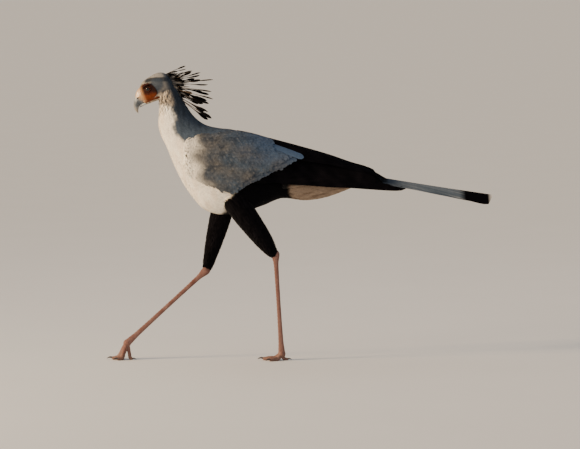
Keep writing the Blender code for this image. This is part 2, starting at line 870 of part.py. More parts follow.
def outer_tail_feather(pair, side):
    """A short tail feather under the long pair, kept to its own side of the middle."""
    tip_x, half = OUTER_TAIL[pair]
    drop = TAIL_STEP * (pair + 1) + 1.4
    down_and_out = Vector((0, side * math.cos(TAIL_PITCH), -math.sin(TAIL_PITCH)))
    normal = Vector((0, side * math.sin(TAIL_PITCH), math.cos(TAIL_PITCH)))
    start_x = 40.0
    rows = []
    for share, width in FLIGHT_SHAPE:
        x = start_x + (tip_x - start_x) * share
        edge = tail_ridge(x) - UP * drop + down_and_out * 1.0
        reach = half * 2 * width
        rows.append([(edge, normal), (edge + down_and_out * reach, normal)])
    return vane("outer_tail_feather", rows)


def long_tail_feather(side):
    """One of the two long middle feathers, which turn their edge down towards the black end."""
    start_x = 30.0
    length = TAIL_TIP_X - start_x - (0 if side < 0 else 9)
    lowered = 0.0 if side < 0 else 1.8
    rows = []
    for share, width in ((0, 0.5), (0.3, 0.75), (0.55, 0.8), (0.8, 0.92), (0.93, 1.0), (0.985, 0.75), (1, 0.35)):
        x = start_x + length * share
        pitch = math.radians(24 + 12 * share**2)
        half = 25.0 * width
        out = Vector((0, side * math.cos(pitch), -math.sin(pitch)))
        normal = Vector((0, side * math.sin(pitch), math.cos(pitch)))
        sag = -6.0 * math.sin(math.pi * share) * 0.4
        ridge = tail_ridge(x) + UP * (sag - lowered)
        inner = ridge - out * 2.2
        middle = inner + out * half * 0.8 + normal * 0.8
        outer = inner + out * half * 2
        rows.append([(inner, normal), (middle, normal), (outer, normal)])
    return vane("long_tail_feather", rows, 0.8)


def tail():
    base = body_loft("tail_base", TAIL_BASE, 0.0, len(TAIL_BASE) - 1, 9, 14, 0.0, GAP)
    feathers = [outer_tail_feather(p, s) for p in range(len(OUTER_TAIL)) for s in (-1, 1)]
    return fuse("tail", [base, *feathers, long_tail_feather(-1), long_tail_feather(1)])


# Legs


def ankle_cut(line, ankle, joint, side):
    """Where thigh and shank meet: a point, and the direction down the leg that halves the bend."""
    (x, z, _), (end_x, end_z, _) = line[-2:]
    above = Vector((end_x - x, 0, end_z - z)).normalized()
    below = Vector((joint[0] - ankle[0], 0, joint[1] - ankle[1])).normalized()
    return Vector((ankle[0], side * ANKLE_Y, ankle[1])), (above + below).normalized()


def thigh(name, line, ankle, joint, side):
    """The feathered leg down to the ankle, flattened a little sideways."""
    places = [(i / (len(line) - 1), *row) for i, row in enumerate(line)]
    points, halves, tall = [], [], []
    for i in range(10):
        share = i / 9
        x, z, radius = smooth(places, share)
        y = side * (HIP_Y + (ANKLE_Y - HIP_Y) * share)
        points.append(Vector((x, y, z)))
        halves.append(radius * 0.74)
        tall.append(radius)
    ahead = (points[0] - points[1]).normalized()
    points.insert(0, points[0] + ahead * 16)
    halves.insert(0, halves[0] * 0.6)
    tall.insert(0, tall[0] * 0.6)
    points.append(points[-1] + (points[-1] - points[-2]).normalized() * ANKLE_OVERRUN)
    halves.append(halves[-1])
    tall.append(tall[-1])
    leg = tube(name, points, halves, 14, tall=tall)
    point, down = ankle_cut(line, ankle, joint, side)
    sliced(leg, point - down * GAP / 2, down)
    return carve(leg, torso("torso_room", GAP))


def shank(name, line, ankle, joint, side):
    """The bare leg: a knobbed ankle, a flat-sided shaft with scutes down its front, a wide foot end."""
    top = Vector((ankle[0], side * ANKLE_Y, ankle[1]))
    end = Vector((joint[0], side * FOOT_Y, joint[1]))
    ahead = (end - top).normalized()
    end = end - ahead * BALL_CUT
    run = end - top
    front = ALONG_Y.cross(ahead).normalized()
    front = front if front.x < 0 else -front
    rings = []
    sides = 8

    def ring(share, scale_front=1.0):
        knob = 1.0 + 0.75 * math.exp(-((share / 0.07) ** 2)) + 0.35 * math.exp(-(((1 - share) / 0.07) ** 2))
        taper = 1.0 - 0.18 * math.sin(math.pi * min(1.0, share * 1.1))
        half = SHANK_HALF * knob * taper
        made = []
        for p in ellipse(top + run * share, front, ALONG_Y, half * 1.12, half * 0.86, sides):
            off = p - (top + run * share)
            lift = max(0.0, off.dot(front)) * (scale_front - 1.0)
            made.append(p + front * lift)
        return made

    rings.append(ring(-ANKLE_OVERRUN / run.length))
    rings.append(ring(0.0))
    rings.append(ring(0.06))
    first, last = 0.12, 0.9
    for i in range(SCUTES):
        share = first + (last - first) * i / SCUTES
        size = (last - first) / SCUTES
        rings.append(ring(share + size * 0.12, 1.0))
        rings.append(ring(share + size * 0.92, SCUTE_RAISE))
    rings.append(ring(0.93))
    rings.append(ring(1.0))
    point, down = ankle_cut(line, ankle, joint, side)
    return sliced(loft(name, rings), point + down * GAP / 2, -down)


def toe_line(joint, turn, length, side, radius):
    """Middle line of a toe: down from the joint to the floor, then flat along it."""
    yaw = math.radians(180 + turn * side)
    ahead = Vector((math.cos(yaw), math.sin(yaw), 0))
    root = Vector((joint[0], side * FOOT_Y, joint[1]))
    drop = root.z - (radius - TOE_FLAT)
    slope = min(1.0, drop / 34)
    line = []
    for share in (0.0, 0.18, 0.36, 0.55, 0.78, 0.92, 1.0):
        reach = length * share * (1 - 0.28 * slope * min(1.0, share / 0.55))
        fall = drop * (1 - (1 - min(1.0, share / (0.25 + 0.4 * slope))) ** 1.5)
        line.append(root + ahead * reach - UP * fall)
    return line, ahead


def foot(name, ankle, joint, side):
    """Three toes forward and one back, with pads pressed flat on the floor, joined at the ball."""
    root = Vector((joint[0], side * FOOT_Y, joint[1]))
    ahead = Vector((joint[0] - ankle[0], 0, joint[1] - ankle[1])).normalized()
    pieces = [ball("foot_ball", root, (13.0, 10.5, 11.5), ahead, 12, 8)]
    for turn, length, radius in TOES:
        line, _ = toe_line(joint, turn, length, side, radius * 0.8)
        bumps = (1.0, 0.95, 0.86, 0.94, 0.78, TOE_TIP, TOE_TIP)
        halves = [radius * b for b in bumps]
        for i, p in enumerate(line):
            p.z = max(p.z, halves[i] * 0.85 - TOE_FLAT)
        pieces.append(tube("toe", line, halves, 8, UP, floor=True))
    return sliced(fuse(name, pieces), root - ahead * (BALL_CUT - GAP), -ahead)


def claws(joint, side, tag):
    """A blunt curved claw at the end of each toe."""
    made = []
    for i, (turn, length, radius) in enumerate(TOES):
        line, ahead = toe_line(joint, turn, length, side, radius * 0.8)
        end = line[-1]
        end.z = max(end.z, radius * TOE_TIP * 0.85 - TOE_FLAT)
        size = CLAW * (0.7 if i == 3 else 1.0)
        base = radius * 0.42
        points = [
            end + ahead * (GAP * 1.5 + size * s) + UP * size * (0.2 * math.sin(math.pi * s) - 0.1 * s)
            for s in (0.0, 0.3, 0.6, 0.85, 1.0)
        ]
        points.insert(1, points[0] + ahead * 1.2)
        halves = [base, base, base * 0.85, base * 0.62, base * 0.36, base * 0.12]
        for p, h in zip(points, halves):
            p.z = max(p.z, h + 0.3)
        made.append((f"claw_{tag}_{i + 1}", tube("claw", points, halves, 7, UP)))
    return made


# The bird

for old in list(bpy.data.objects):
    bpy.data.objects.remove(old)

PALE_FEATHER = material("pale_feather", "C9C4BE", 0.85)
GREY_FEATHER = material("grey_feather", "8B919B", 0.85)
BLACK_FEATHER = material("black_feather", "17161A", 0.7)
WHITE_FEATHER = material("white_feather", "E9E2D6", 0.9)
FACE_SKIN = material("face_skin", "B5561F", 0.6)
HORN_GREY = material("horn_grey", "8E9AA0", 0.4)
EYE_BROWN = material("eye_brown", "1C120D", 0.08)
LEG_PINK = material("leg_pink", "B98F84", 0.6)
CLAW_DARK = material("claw_dark", "2A2422", 0.45)

head_node, nape_node, neck_node = head_and_neck()
finish(head_node, "head", PALE_FEATHER)
finish(crest(nape_node), "crest", BLACK_FEATHER)
finish(neck_node, "neck", GREY_FEATHER)
finish(upper_bill(), "bill_upper", HORN_GREY)
finish(bill("bill_lower", LOWER_BILL, 5, 10, 0.0), "bill_lower", HORN_GREY)
finish(eye(-1), "eye_left", EYE_BROWN)
finish(eye(1), "eye_right", EYE_BROWN)
finish(torso("torso"), "torso", WHITE_FEATHER)
wing = left_wing()
finish(wing, "wing_left", GREY_FEATHER)
finish(mirrored(wing, "wing_right"), "wing_right", GREY_FEATHER)
finish(tail(), "tail", GREY_FEATHER)
for tag, side, line, ankle, joint in (
    ("left", -1, NEAR_THIGH, NEAR_ANKLE, NEAR_JOINT),
    ("right", 1, FAR_THIGH, FAR_ANKLE, FAR_JOINT),
):
    finish(thigh("thigh", line, ankle, joint, side), f"thigh_{tag}", BLACK_FEATHER)
    finish(shank("shank", line, ankle, joint, side), f"shank_{tag}", LEG_PINK)
    finish(foot("foot", ankle, joint, side), f"foot_{tag}", LEG_PINK)
    for claw_name, claw in claws(joint, side, tag):
        finish(claw, claw_name, CLAW_DARK)
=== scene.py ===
"""Looks of a life-size secretary bird in mid stride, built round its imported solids.

One skin lies under a coat of small solid feathers. Crest, wing and tail feathers, bill, eyes, lids,
legs and claws are finer forms in the places of the solids. Sizes are in millimetres, in the bird's
own axes: it walks towards -X, its left side is at -Y, and the floor is Z = 0.
"""

import json
import math

import bpy
import numpy as np
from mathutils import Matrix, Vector

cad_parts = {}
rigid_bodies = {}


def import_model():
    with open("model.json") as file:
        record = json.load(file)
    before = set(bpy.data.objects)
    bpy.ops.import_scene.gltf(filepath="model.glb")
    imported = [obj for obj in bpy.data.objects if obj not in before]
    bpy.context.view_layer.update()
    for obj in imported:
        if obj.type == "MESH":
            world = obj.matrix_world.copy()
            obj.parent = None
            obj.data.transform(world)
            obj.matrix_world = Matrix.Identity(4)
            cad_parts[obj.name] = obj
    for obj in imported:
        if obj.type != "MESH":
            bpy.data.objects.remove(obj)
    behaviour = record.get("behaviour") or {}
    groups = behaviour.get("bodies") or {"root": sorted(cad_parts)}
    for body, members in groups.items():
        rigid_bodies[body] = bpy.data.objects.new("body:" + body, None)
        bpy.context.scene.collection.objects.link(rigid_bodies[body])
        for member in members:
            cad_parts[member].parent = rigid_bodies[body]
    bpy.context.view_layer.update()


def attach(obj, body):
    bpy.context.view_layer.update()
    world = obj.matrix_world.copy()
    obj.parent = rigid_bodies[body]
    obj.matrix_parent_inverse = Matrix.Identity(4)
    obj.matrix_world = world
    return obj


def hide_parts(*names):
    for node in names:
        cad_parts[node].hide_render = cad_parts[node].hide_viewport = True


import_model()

MM = 0.001
CENTRE_X = -41.1  # the bird's own axes start this far from the frame's middle
PI = math.pi

# Body sections from the head to the tail's root: breast side, back side, half width.
BODY = np.array(
    [
        (-452, 792, -397, 803, 24),
        (-443, 745, -382, 772, 30),
        (-445, 719, -366, 740, 34),
        (-448, 687, -342, 708, 39),
        (-441, 656, -311, 686, 46),
        (-423, 618, -275, 677, 56),
        (-404, 571, -238, 673, 64),
        (-377, 516, -203, 665, 68),
        (-348, 473, -171, 653, 69),
        (-316, 440, -145, 638, 67),
        (-270, 425, -122, 622, 62),
        (-212, 430, -93, 604, 54),
        (-148, 450, -61, 586, 45),
        (-90, 472, -29, 571, 35),
        (-26, 466, 9, 562, 27),
        (26, 472, 44, 554, 21),
        (72, 486, 84, 545, 15),
        (113, 503, 125, 535, 9),
        (140, 516, 145, 525, 3),
    ],
    float,
)
BODY_END = len(BODY) - 1

# Head: forward, crown, throat, half width, on the head's own axis.
HEAD_MIDDLE = np.array([-455.0, 0.0, 795.0])
HEAD_TILT = math.radians(20)
HEAD_FORWARD = np.array([-math.cos(HEAD_TILT), 0, -math.sin(HEAD_TILT)])
HEAD_UP = np.array([-math.sin(HEAD_TILT), 0, math.cos(HEAD_TILT)])
SIDEWAYS = np.array([0.0, 1.0, 0.0])
HEAD = np.array(
    [
        (47.0, 12.5, -39.2, 12.8),
        (41.0, 18.5, -39.4, 16.0),
        (32.0, 25.5, -39.0, 19.8),
        (20.0, 30.5, -38.5, 23.2),
        (6.0, 33.5, -39.0, 26.0),
        (-10.0, 36.5, -40.0, 28.6),
        (-24.0, 35.5, -40.0, 29.0),
        (-36.0, 29.5, -35.0, 26.5),
        (-45.0, 18.0, -24.0, 20.0),
        (-49.5, 5.0, -10.0, 10.0),
    ],
    float,
)
# Bill from base to tip: forward and up of its top line, then of its low line, and half width.
UPPER_BILL = np.array(
    [
        (44.5, 14.6, 44.0, -31.0, 12.8),
        (47.3, 12.3, 47.3, -31.2, 12.4),
        (56.0, 6.5, 52.0, -31.8, 11.0),
        (65.0, -5.0, 57.0, -33.0, 9.6),
        (73.0, -17.0, 61.5, -35.3, 8.2),
        (78.0, -28.0, 65.5, -39.3, 6.6),
        (79.5, -37.5, 69.0, -44.0, 4.8),
        (78.0, -46.5, 71.5, -49.5, 2.8),
        (74.5, -54.0, 73.0, -54.4, 0.8),
    ],
    float,
)
LOWER_BILL = np.array(
    [
        (42.0, -31.6, 42.0, -38.8, 11.4),
        (47.3, -31.8, 47.3, -39.0, 10.6),
        (53.0, -32.7, 53.5, -39.6, 8.8),
        (58.5, -35.0, 59.5, -40.2, 5.8),
        (62.0, -38.0, 62.8, -40.6, 2.6),
    ],
    float,
)
NOSTRIL = (58.5, -13.5)  # forward, up
EYE = (22.0, 2.0, 16.2)  # forward, up, out from the middle
EYE_RADIUS = 9.4
LID_RADIUS = 7.5
LID_FLAT = 0.86  # how high the opening is for its width
FACE_PLACE = (27.0, -5.0, 25.0, 24.5)  # the bare face: forward, up, and its reach both ways
MOUTH_UP = -31.5
GAPE_FORWARD = -2.0
# The brow over the eye: forward, up, out.
BROW = ((41, 6, 11), (36, 9.2, 15.5), (30, 12.2, 19.2), (21, 14.0, 22.1), (11, 13.4, 23.2), (1, 10.5, 21))

# Folded wing by x: top, lowest edge, half width, how far its top edge is off the middle.
WING = np.array(
    [
        (-381, 612, 590, 50, 44),
        (-374, 631, 566, 59, 50),
        (-342, 658, 535, 73, 50),
        (-287, 667, 515, 83, 36),
        (-229, 670, 496, 88, 16),
        (-183, 663, 489, 88, 5),
        (-125, 647, 486, 84, 2),
        (-38, 624, 496, 75, 2),
        (49, 599, 506, 66, 2),
        (113, 577, 502, 59, 2),
        (160, 563, 497, 54, 2),
        (212, 536, 494, 49, 2),
        (240, 521, 492, 46, 2),
    ],
    float,
)
WING_WIDEST = 0.55
WING_TUCK = 0.8
# The grey coverts end on a straight line from x, z to x, z, and lie at a slope to it.
COVERT_LINE = ((-226, 497), (-44, 592))
COVERT_FALL = math.radians(27)
# How far above the line the small coverts start: x places, then distances there.
COVERT_CLEAR = ((-262, -212), (20, 40))
LONG_COVERT = ((-152, 645), (-27, 594))
# The flat of the folded flight feathers: how far out, and its slopes in x and z from its place.
SIDE_PLANE = (75.7, 0.085, 0.208)
SIDE_PLANE_AT = (-127, 490)
SIDE_ROOM = 8.5  # the flight feathers stay this far inside the wing's half width

# The long tail feathers' ridge: a place in x and z, and its slope.
TAIL_RIDGE = (188.0, 535.5, -0.163)
TAIL_TIP_X = 519.0

# Legs: the thighs' middle lines by x, z and radius, and the bare legs' ends in x and z.
HIP_Y, ANKLE_Y, FOOT_Y = 38.0, 25.0, 7.0
NEAR_THIGH = [(-236, 488, 37), (-226, 467, 36), (-184, 409, 33)]
NEAR_THIGH += [(-142, 351, 26), (-118, 316, 16), (-113, 306, 10)]
FAR_THIGH = [(-254, 492, 35), (-261, 450, 33), (-271, 408, 31)]
FAR_THIGH += [(-286, 352, 26), (-306, 276, 16), (-311, 259, 10)]
NEAR_ANKLE, NEAR_JOINT = (-109, 311), (-91, 19)
FAR_ANKLE, FAR_JOINT = (-312, 259), (-541, 49)
SHANK_HALF = 7.2
PLATES = 30  # down the front of a bare leg
# Toes: turn from straight ahead, length, radius, and the claw's share of CLAW.
TOES = ((0, 62, 8.2, 1.0), (34, 46, 7.4, 1.0), (-36, 48, 7.4, 1.0), (168, 22, 5.6, 0.7))
TOE_FLAT = 1.6
CLAW = 15.0
SIDES = ((-1, "left"), (1, "right"))

# How far the skin lies under the solids' faces, and so how deep the coat is.
BODY_COAT = 6.0
WING_COAT = 6.5
THIGH_COAT = 5.0

# The photograph: millimetres for each of its dots, and the bird's place in it.
DOT = 2.9
PHOTO_WIDE = 580
PHOTO_MIDDLE = (-67.0, 396.0)
CAMERA_AWAY = 8000.0
CAMERA_RISE = math.radians(5)


def linear(code):
    """The sRGB hex code as a linear colour."""
    parts = [int(code[i : i + 2], 16) / 255 for i in (0, 2, 4)]
    return np.array([p / 12.92 if p <= 0.04045 else ((p + 0.055) / 1.055) ** 2.4 for p in parts])


# Feathers
CREAM = linear("F7EEDD")
WARM_WHITE = linear("E2D2BC")
TAN = linear("A8937A")
BLUE_GREY = linear("4C5866")
SLATE = linear("333A44")
SHOULDER = linear("5B5855")
PALE_GREY = linear("827E79")
BLACK = linear("08070A")
SOFT_BLACK = linear("121013")
CROWN = linear("96918B")
UNDERTAIL = linear("93806E")
VENT_DARK = linear("5F4C3F")
RIBBON_BLUE = linear("485C77")
CREST_BROWN = linear("6A5443")
CREST_PALE = linear("A58F78")
TAIL_GREY = linear("47515C")
TAIL_LIGHT = linear("7D848B")
TAIL_WHITE = linear("D2CEC8")
TAIL_EDGE = linear("C9C4BA")
SHORT_TIP = linear("85827E")
# Face and eye
FACE = linear("64240C")
FACE_DARK = linear("260A04")
# the lower cheek's orange, partly painted light
CHEEK_ORANGE_LIT = linear("A4511F")
FACE_EDGE = linear("C6966A")
LID_RED = linear("5C2A18")
IRIS = linear("3A2515")
IRIS_RAYS = linear("1E120A")
IRIS_RIM = linear("120A06")
PUPIL = linear("030202")
EYE_EDGE = linear("120C0A")
LASH_BLACK = linear("100D0C")
# Bill
CERE = linear("BE976C")
HORN = linear("7D858C")
# painted shade low on the bill's side
HORN_SHADE = linear("3F464E")
# painted highlight on the front of the bill's ridge
HORN_RIDGE_HIGHLIGHT = linear("C6A078")
# painted highlight on the hook's tip
HORN_TIP_HIGHLIGHT = linear("8D8272")
# painted shade in the nostril
NOSTRIL_SHADE = linear("1C1210")
JAW_HORN = linear("9DA3A6")
JAW_TIP = linear("4A4B50")
# Legs and claws
LEG_PINK = linear("7E5850")
LEG_LIGHT = linear("937168")
LEG_SPOT = linear("7C594D")
TOE_DUST = linear("8C6E5E")
PLATE_SEAM = linear("5E4238")
CLAW_BLACK = linear("1F1A19")
CLAW_ROOT = linear("4A3F3A")
# Stage
FLOOR_LOW = linear("E9E6E1")
FLOOR_HIGH = linear("EDEAE5")
STUDIO_SKY = linear("D9DEE6")

WAVES = 6  # in each pattern of smooth noise


def noise(points, size, seed):
    """Smooth waves in space, between about -1 and 1, of a given size in millimetres."""
    draw = np.random.default_rng(seed)
    total = np.zeros(len(points))
    for _ in range(WAVES):
        wave = draw.normal(size=3)
        wave *= 2 * PI / (size * draw.uniform(0.7, 1.5)) / np.linalg.norm(wave)
        total += np.sin(points @ wave + draw.uniform(0, 2 * PI))
    return total / 2.6


def spots(points, size, seed, more=0.0):
    """Smooth spots, from 0 between them to about 1 in their middles; more makes them wider."""
    return np.clip(noise(points, size, seed) + more, 0, 1)


def step_up(low, high, value):
    """0 before low and 1 past high, with a soft step between; high may be the lower number."""
    t = np.clip((value - low) / (high - low), 0, 1)
    return t * t * (3 - 2 * t)


def mixed(colour_a, colour_b, share):
    """The first colour with a share of the second, place by place."""
    share = np.asarray(share)[..., None]
    return colour_a * (1 - share) + colour_b * share


def head_places(points):
    """Forward and up on the head's own axis."""
    off = points - HEAD_MIDDLE
    return off @ HEAD_FORWARD, off @ HEAD_UP


def bare_face(points):
    """1 where the face is bare skin, 0 where it is feathered."""
    forward, up = head_places(points)
    across = (forward - FACE_PLACE[0]) / (FACE_PLACE[2] + 5 * step_up(10, -22, up))
    high = (up - FACE_PLACE[1]) / FACE_PLACE[3]
    reach = (np.abs(across) ** 2.3 + np.abs(high) ** 2.3) ** (1 / 2.3)
    side = step_up(5.0, 9.0, np.abs(points[:, 1]))
    gape = step_up(5.0, 2.5, np.abs(up - MOUTH_UP - 0.5)) * step_up(-6, 2, forward)
    return np.maximum(step_up(1.04, 0.94, reach) * side, gape * side)


def line_height(line, x):
    """Height at x of a straight line through two places."""
    (x0, z0), (x1, z1) = line
    return z0 + (z1 - z0) * (x - x0) / (x1 - x0)


# Where the pale breast ends and the blue-grey of the back begins: heights, and x there.
NECK_LINE_Z = (430, 560, 610, 640, 679, 713, 745, 762, 785, 835)
NECK_LINE_X = (0, -200, -330, -378, -402, -399, -402, -416, -434, -440)


def marking(points):
    """The colour of skin and coat at places on the body, from the bird's own pattern."""
    x, y, z = points.T
    forward, up = head_places(points)
    wobble = noise(points, 42, 3) * 7
    # Breast and belly are cream, the back of neck and body blue-grey.
    line_x = np.interp(z, NECK_LINE_Z, NECK_LINE_X)
    back = step_up(-10, 10, x - line_x + wobble + noise(points, 13, 4) * 3)
    colour = mixed(CREAM, BLUE_GREY, back)
    streaks = 0.75 * step_up(640, 740, z) + 0.3 * spots(points * (1, 1, 0.35), 16, 14)
    colour = mixed(colour, SLATE, back * np.clip(streaks, 0, 1))
    colour = mixed(colour, WARM_WHITE, (1 - back) * 0.5 * spots(points * (1, 1, 0.4), 30, 16))
    # Lower belly and flanks behind the thighs are black, and the feathers under the tail pale.
    rear = step_up(-249, -231, x + (480 - z) * 0.47 + wobble * 0.8) * step_up(580, 550, z)
    colour = mixed(colour, BLACK, rear)
    under = step_up(-74, -60, x + wobble * 0.8) * step_up(522, 508, z)
    vent = mixed(UNDERTAIL, VENT_DARK, spots(points * (0.3, 1, 1), 11, 55) * 0.7)
    colour = mixed(colour, vent, under)
    rump = np.maximum(step_up(-80, -60, x), step_up(-134, -124, x) * step_up(560, 570, z))
    colour = mixed(colour, BLACK, rump * step_up(516, 526, z))
    # The head is grey above and whitish on the throat, with a dark line over the eye to the nape.
    head = step_up(736, 752, z) * step_up(-392, -404, x)
    crown = mixed(PALE_GREY, CROWN, step_up(-10, 22, up))
    throat = step_up(-16, -30, up + wobble * 0.3)
    crown = mixed(crown, mixed(WARM_WHITE, TAN, 0.45), throat)
    streak = np.abs(up - 25.5 - 0.3 * (forward - 12.5) + wobble * 0.25)
    dark = step_up(9.5, 4, streak) * step_up(32, 18, forward)
    crown = mixed(crown, SLATE * 0.6, dark * 0.92 * step_up(3, 9, np.abs(y)))
    crown = mixed(crown, mixed(WARM_WHITE, TAN, 0.5), step_up(22, 32, forward) * step_up(6, 14, up) * 0.75)
    ear = np.hypot(forward + 8, (up - 4) * 1.1)
    crown = mixed(crown, mixed(BLUE_GREY, SLATE, 0.6), step_up(27, 12, ear + wobble * 0.4) * 0.9)
    colour = mixed(colour, crown, head * step_up(-44, -26, forward))
    # Under the jaw and behind the ear, dark slate spots lie among the loose feather tips.
    loose = step_up(728, 746, z) * step_up(-8, -20, up) * step_up(46, 34, forward)
    gaps = spots(points * (1, 1, 0.3), 9, 41, 0.25)
    return mixed(colour, SLATE, loose * gaps * 0.75)


def wing_marking(points):
    """The wing's coverts: warm grey at the shoulder, blue-grey above and behind. The warm grey and cream toward
    the front are partly the feathers' own colour and partly a painted sunlit highlight.
    """
    x, _, z = points.T
    wobble = noise(points, 60, 8) * 12
    front = step_up(-300, -368, x + (z - 590) * 0.15 + wobble)
    colour = mixed(BLUE_GREY, SLATE, 0.3)
    colour = mixed(colour, SHOULDER, np.clip(0.45 + 0.5 * noise(points, 55, 9), 0, 1) * 0.75)
    # Warmer and lighter toward the front: partly the coverts' own colour, partly a painted highlight where the
    # sun falls.
    colour = mixed(colour, SHOULDER, step_up(-250, -330, x + wobble) * 0.6)
    patch = np.clip(noise(points, 34, 5) + 0.6 * noise(points, 12, 25), 0, 1)
    colour = mixed(colour, SLATE, patch * 0.7)
    colour = mixed(colour, PALE_GREY, spots(points, 9, 26, -0.4) * 0.35)
    colour = mixed(colour, RIBBON_BLUE, step_up(-230, -130, x + wobble) * step_up(560, 600, z) * 0.55)
    # Cream at the front edge: partly the breast feathers' colour, partly a painted highlight.
    return mixed(colour, CREAM, front)


def unit(ways, least=1e-9):
    """Ways at length one."""
    return ways / np.maximum(np.linalg.norm(ways, axis=-1, keepdims=True), least)


def smooth(stations, at):
    """The rows at places between stations, on a curve with no kinks. stations are places and their rows."""
    places, values = stations
    at = np.clip(np.asarray(at, float), places[0], places[-1])
    i = np.clip(np.searchsorted(places, at, side="right") - 1, 0, len(places) - 2)
    slopes = np.gradient(values, places, axis=0)
    span = places[i + 1] - places[i]
    t = (at - places[i]) / span
    t, span = t[..., None], span[..., None]
    return (
        (2 * t**3 - 3 * t**2 + 1) * values[i]
        + (t**3 - 2 * t**2 + t) * span * slopes[i]
        + (3 * t**2 - 2 * t**3) * values[i + 1]
        + (t**3 - t**2) * span * slopes[i + 1]
    )


def counted(rows):
    """Stations whose places are 0, 1, 2 and so on."""
    rows = np.asarray(rows, float)
    return np.arange(len(rows), dtype=float), rows


BODY_ROWS = counted(BODY)
HEAD_ROWS = (-HEAD[:, 0], HEAD[:, 1:])
WING_ROWS = (WING[:, 0], WING[:, 1:])


def on_head(forward, up, sideways=0.0):
    """Places from forward and up on the head's own axis, and sideways."""
    forward, up, sideways = np.broadcast_arrays(*(np.asarray(a, float) for a in (forward, up, sideways)))
    return (
        HEAD_MIDDLE
        + forward[..., None] * HEAD_FORWARD
        + up[..., None] * HEAD_UP
        + sideways[..., None] * SIDEWAYS
    )


def body_surface(s, turn, grow=0.0):
    """The body's outer face. turn is 0 on the back and half a turn on the breast."""
    front_x, front_z, back_x, back_z, half = np.moveaxis(smooth(BODY_ROWS, s), -1, 0)
    front = np.stack([front_x, 0 * front_x, front_z], -1)
    back = np.stack([back_x, 0 * back_x, back_z], -1)
    axis = (back - front) / 2
    length = np.linalg.norm(axis, axis=-1, keepdims=True)
    grow = np.asarray(grow, float)
    axis = axis / length * (length + grow[..., None])
    turn = np.asarray(turn, float)
    across = ((half + grow) * np.sin(turn))[..., None] * SIDEWAYS
    return (front + back) / 2 + axis * np.cos(turn)[..., None] + across


def head_surface(place, turn, grow=0.0):
    """The head's outer face. place runs from the bill back, as minus forward."""
    top, low, half = np.moveaxis(smooth(HEAD_ROWS, place), -1, 0)
    turn = np.asarray(turn, float)
    up = (top + low) / 2 + ((top - low) / 2 + grow) * np.cos(turn)
    return on_head(-np.asarray(place, float), up, (half + grow) * np.sin(turn))


def cheek(forward, up):
    """Half width of the head at a place on its side."""
    top, low, half = np.moveaxis(smooth(HEAD_ROWS, -np.asarray(forward, float)), -1, 0)
    high = (up - (top + low) / 2) / ((top - low) / 2)
    return half * np.sqrt(np.clip(1 - high * high, 0, 1))


def wing_angles(x):
    """Across the folded wing: height of its widest place, half width, turns and rises above and below."""
    top, bottom, half, inner = np.moveaxis(smooth(WING_ROWS, x), -1, 0)
    middle = bottom + WING_WIDEST * (top - bottom)
    start = np.arcsin(np.minimum(inner / half, 0.95))
    end = PI - math.asin(WING_TUCK)
    return middle, half, start, end, (top - middle) / np.cos(start), (bottom - middle) / np.cos(end)


def wing_surface(x, down, grow=0.0):
    """The left wing's outer face. down runs from 0 at the back's ridge to 1 at the lowest edge."""
    down = np.maximum(np.asarray(down, float), 0.0)
    middle, half, start, end, rise, drop = wing_angles(x)
    turn = start + (end - start) * down
    height = np.where(turn < PI / 2, rise, drop)
    x = np.broadcast_to(np.asarray(x, float), turn.shape)
    return np.stack([x, -(half + grow) * np.sin(turn), middle + height * np.cos(turn)], -1)


def down_at(x, z):
    """How far down the wing's outer face a place is, from 0 at the ridge to 1 at the lowest edge."""
    middle, _, start, end, rise, drop = wing_angles(x)
    height = np.where(z > middle, rise, drop)
    turn = np.arccos(np.clip((z - middle) / height, -1, 1))
    return (turn - start) / (end - start)


def side_surface(x, z):
    """The flat that the folded flight feathers lie on, kept under the wing's outer face."""
    out, draw_in, lean = SIDE_PLANE
    flat = out - draw_in * (x - SIDE_PLANE_AT[0]) - lean * (z - SIDE_PLANE_AT[1])
    middle, half = wing_angles(x)[:2]
    room = half - SIDE_ROOM
    down = down_at(x, z)
    here = wing_surface(x, down)
    normal = normals_of(wing_surface, x, np.maximum(down, 0), (2.0, 0.01))
    above = np.minimum(room, -here[..., 1] - WING_COAT / np.maximum(0.35, np.abs(normal[..., 1])))
    room = np.where(z > middle, above, room)
    x = np.broadcast_to(np.asarray(x, float), room.shape)
    z = np.broadcast_to(np.asarray(z, float), room.shape)
    return np.stack([x, -np.minimum(flat, room), z], -1)


def normals_of(surface, u, v, steps):
    """Ways straight out of a surface, from places a small step apart."""
    du, dv = steps
    along = surface(u + du, v) - surface(u - du, v)
    around = surface(u, v + dv) - surface(u, v - dv)
    return unit(np.cross(along, around))


# Meshes from arrays

CHART_COUNT = 4  # charts lie in a square of this many by this many
CHART_MARGIN = 0.012
PATCH = 0.003  # a small feather's own patch of its chart
RELIEF = 0.3  # how far a feather's edges seem to turn down
SAMPLE_BLADES = 40  # enough to tell which way a set of blades faces
# Where a small feather's rows lie from root to tip, and its width there.
ROUND_TIP = np.array([(0.0, 0.35), (0.45, 0.95), (0.8, 1.0), (0.94, 0.72), (1.0, 0.16)])
SOFT_TIP = np.array([(0.0, 0.45), (0.5, 1.0), (0.84, 0.66), (1.0, 0.05)])
CAMBER = 0.045  # how high a small feather's middle stands for its width
MOST_TRIANGLES = 190000  # in one piece of the coat


def points_of(mesh):
    """A mesh's points in millimetres, on the bird's own axes."""
    places = np.zeros(len(mesh.vertices) * 3, np.float32)
    mesh.vertices.foreach_get("co", places)
    return places.reshape(-1, 3).astype(float) / MM + (CENTRE_X, 0, 0)


def set_points(mesh, points):
    """Puts a mesh's points at places in millimetres."""
    places = (points - (CENTRE_X, 0, 0)) * MM
    mesh.vertices.foreach_set("co", places.astype(np.float32).ravel())
    mesh.update()


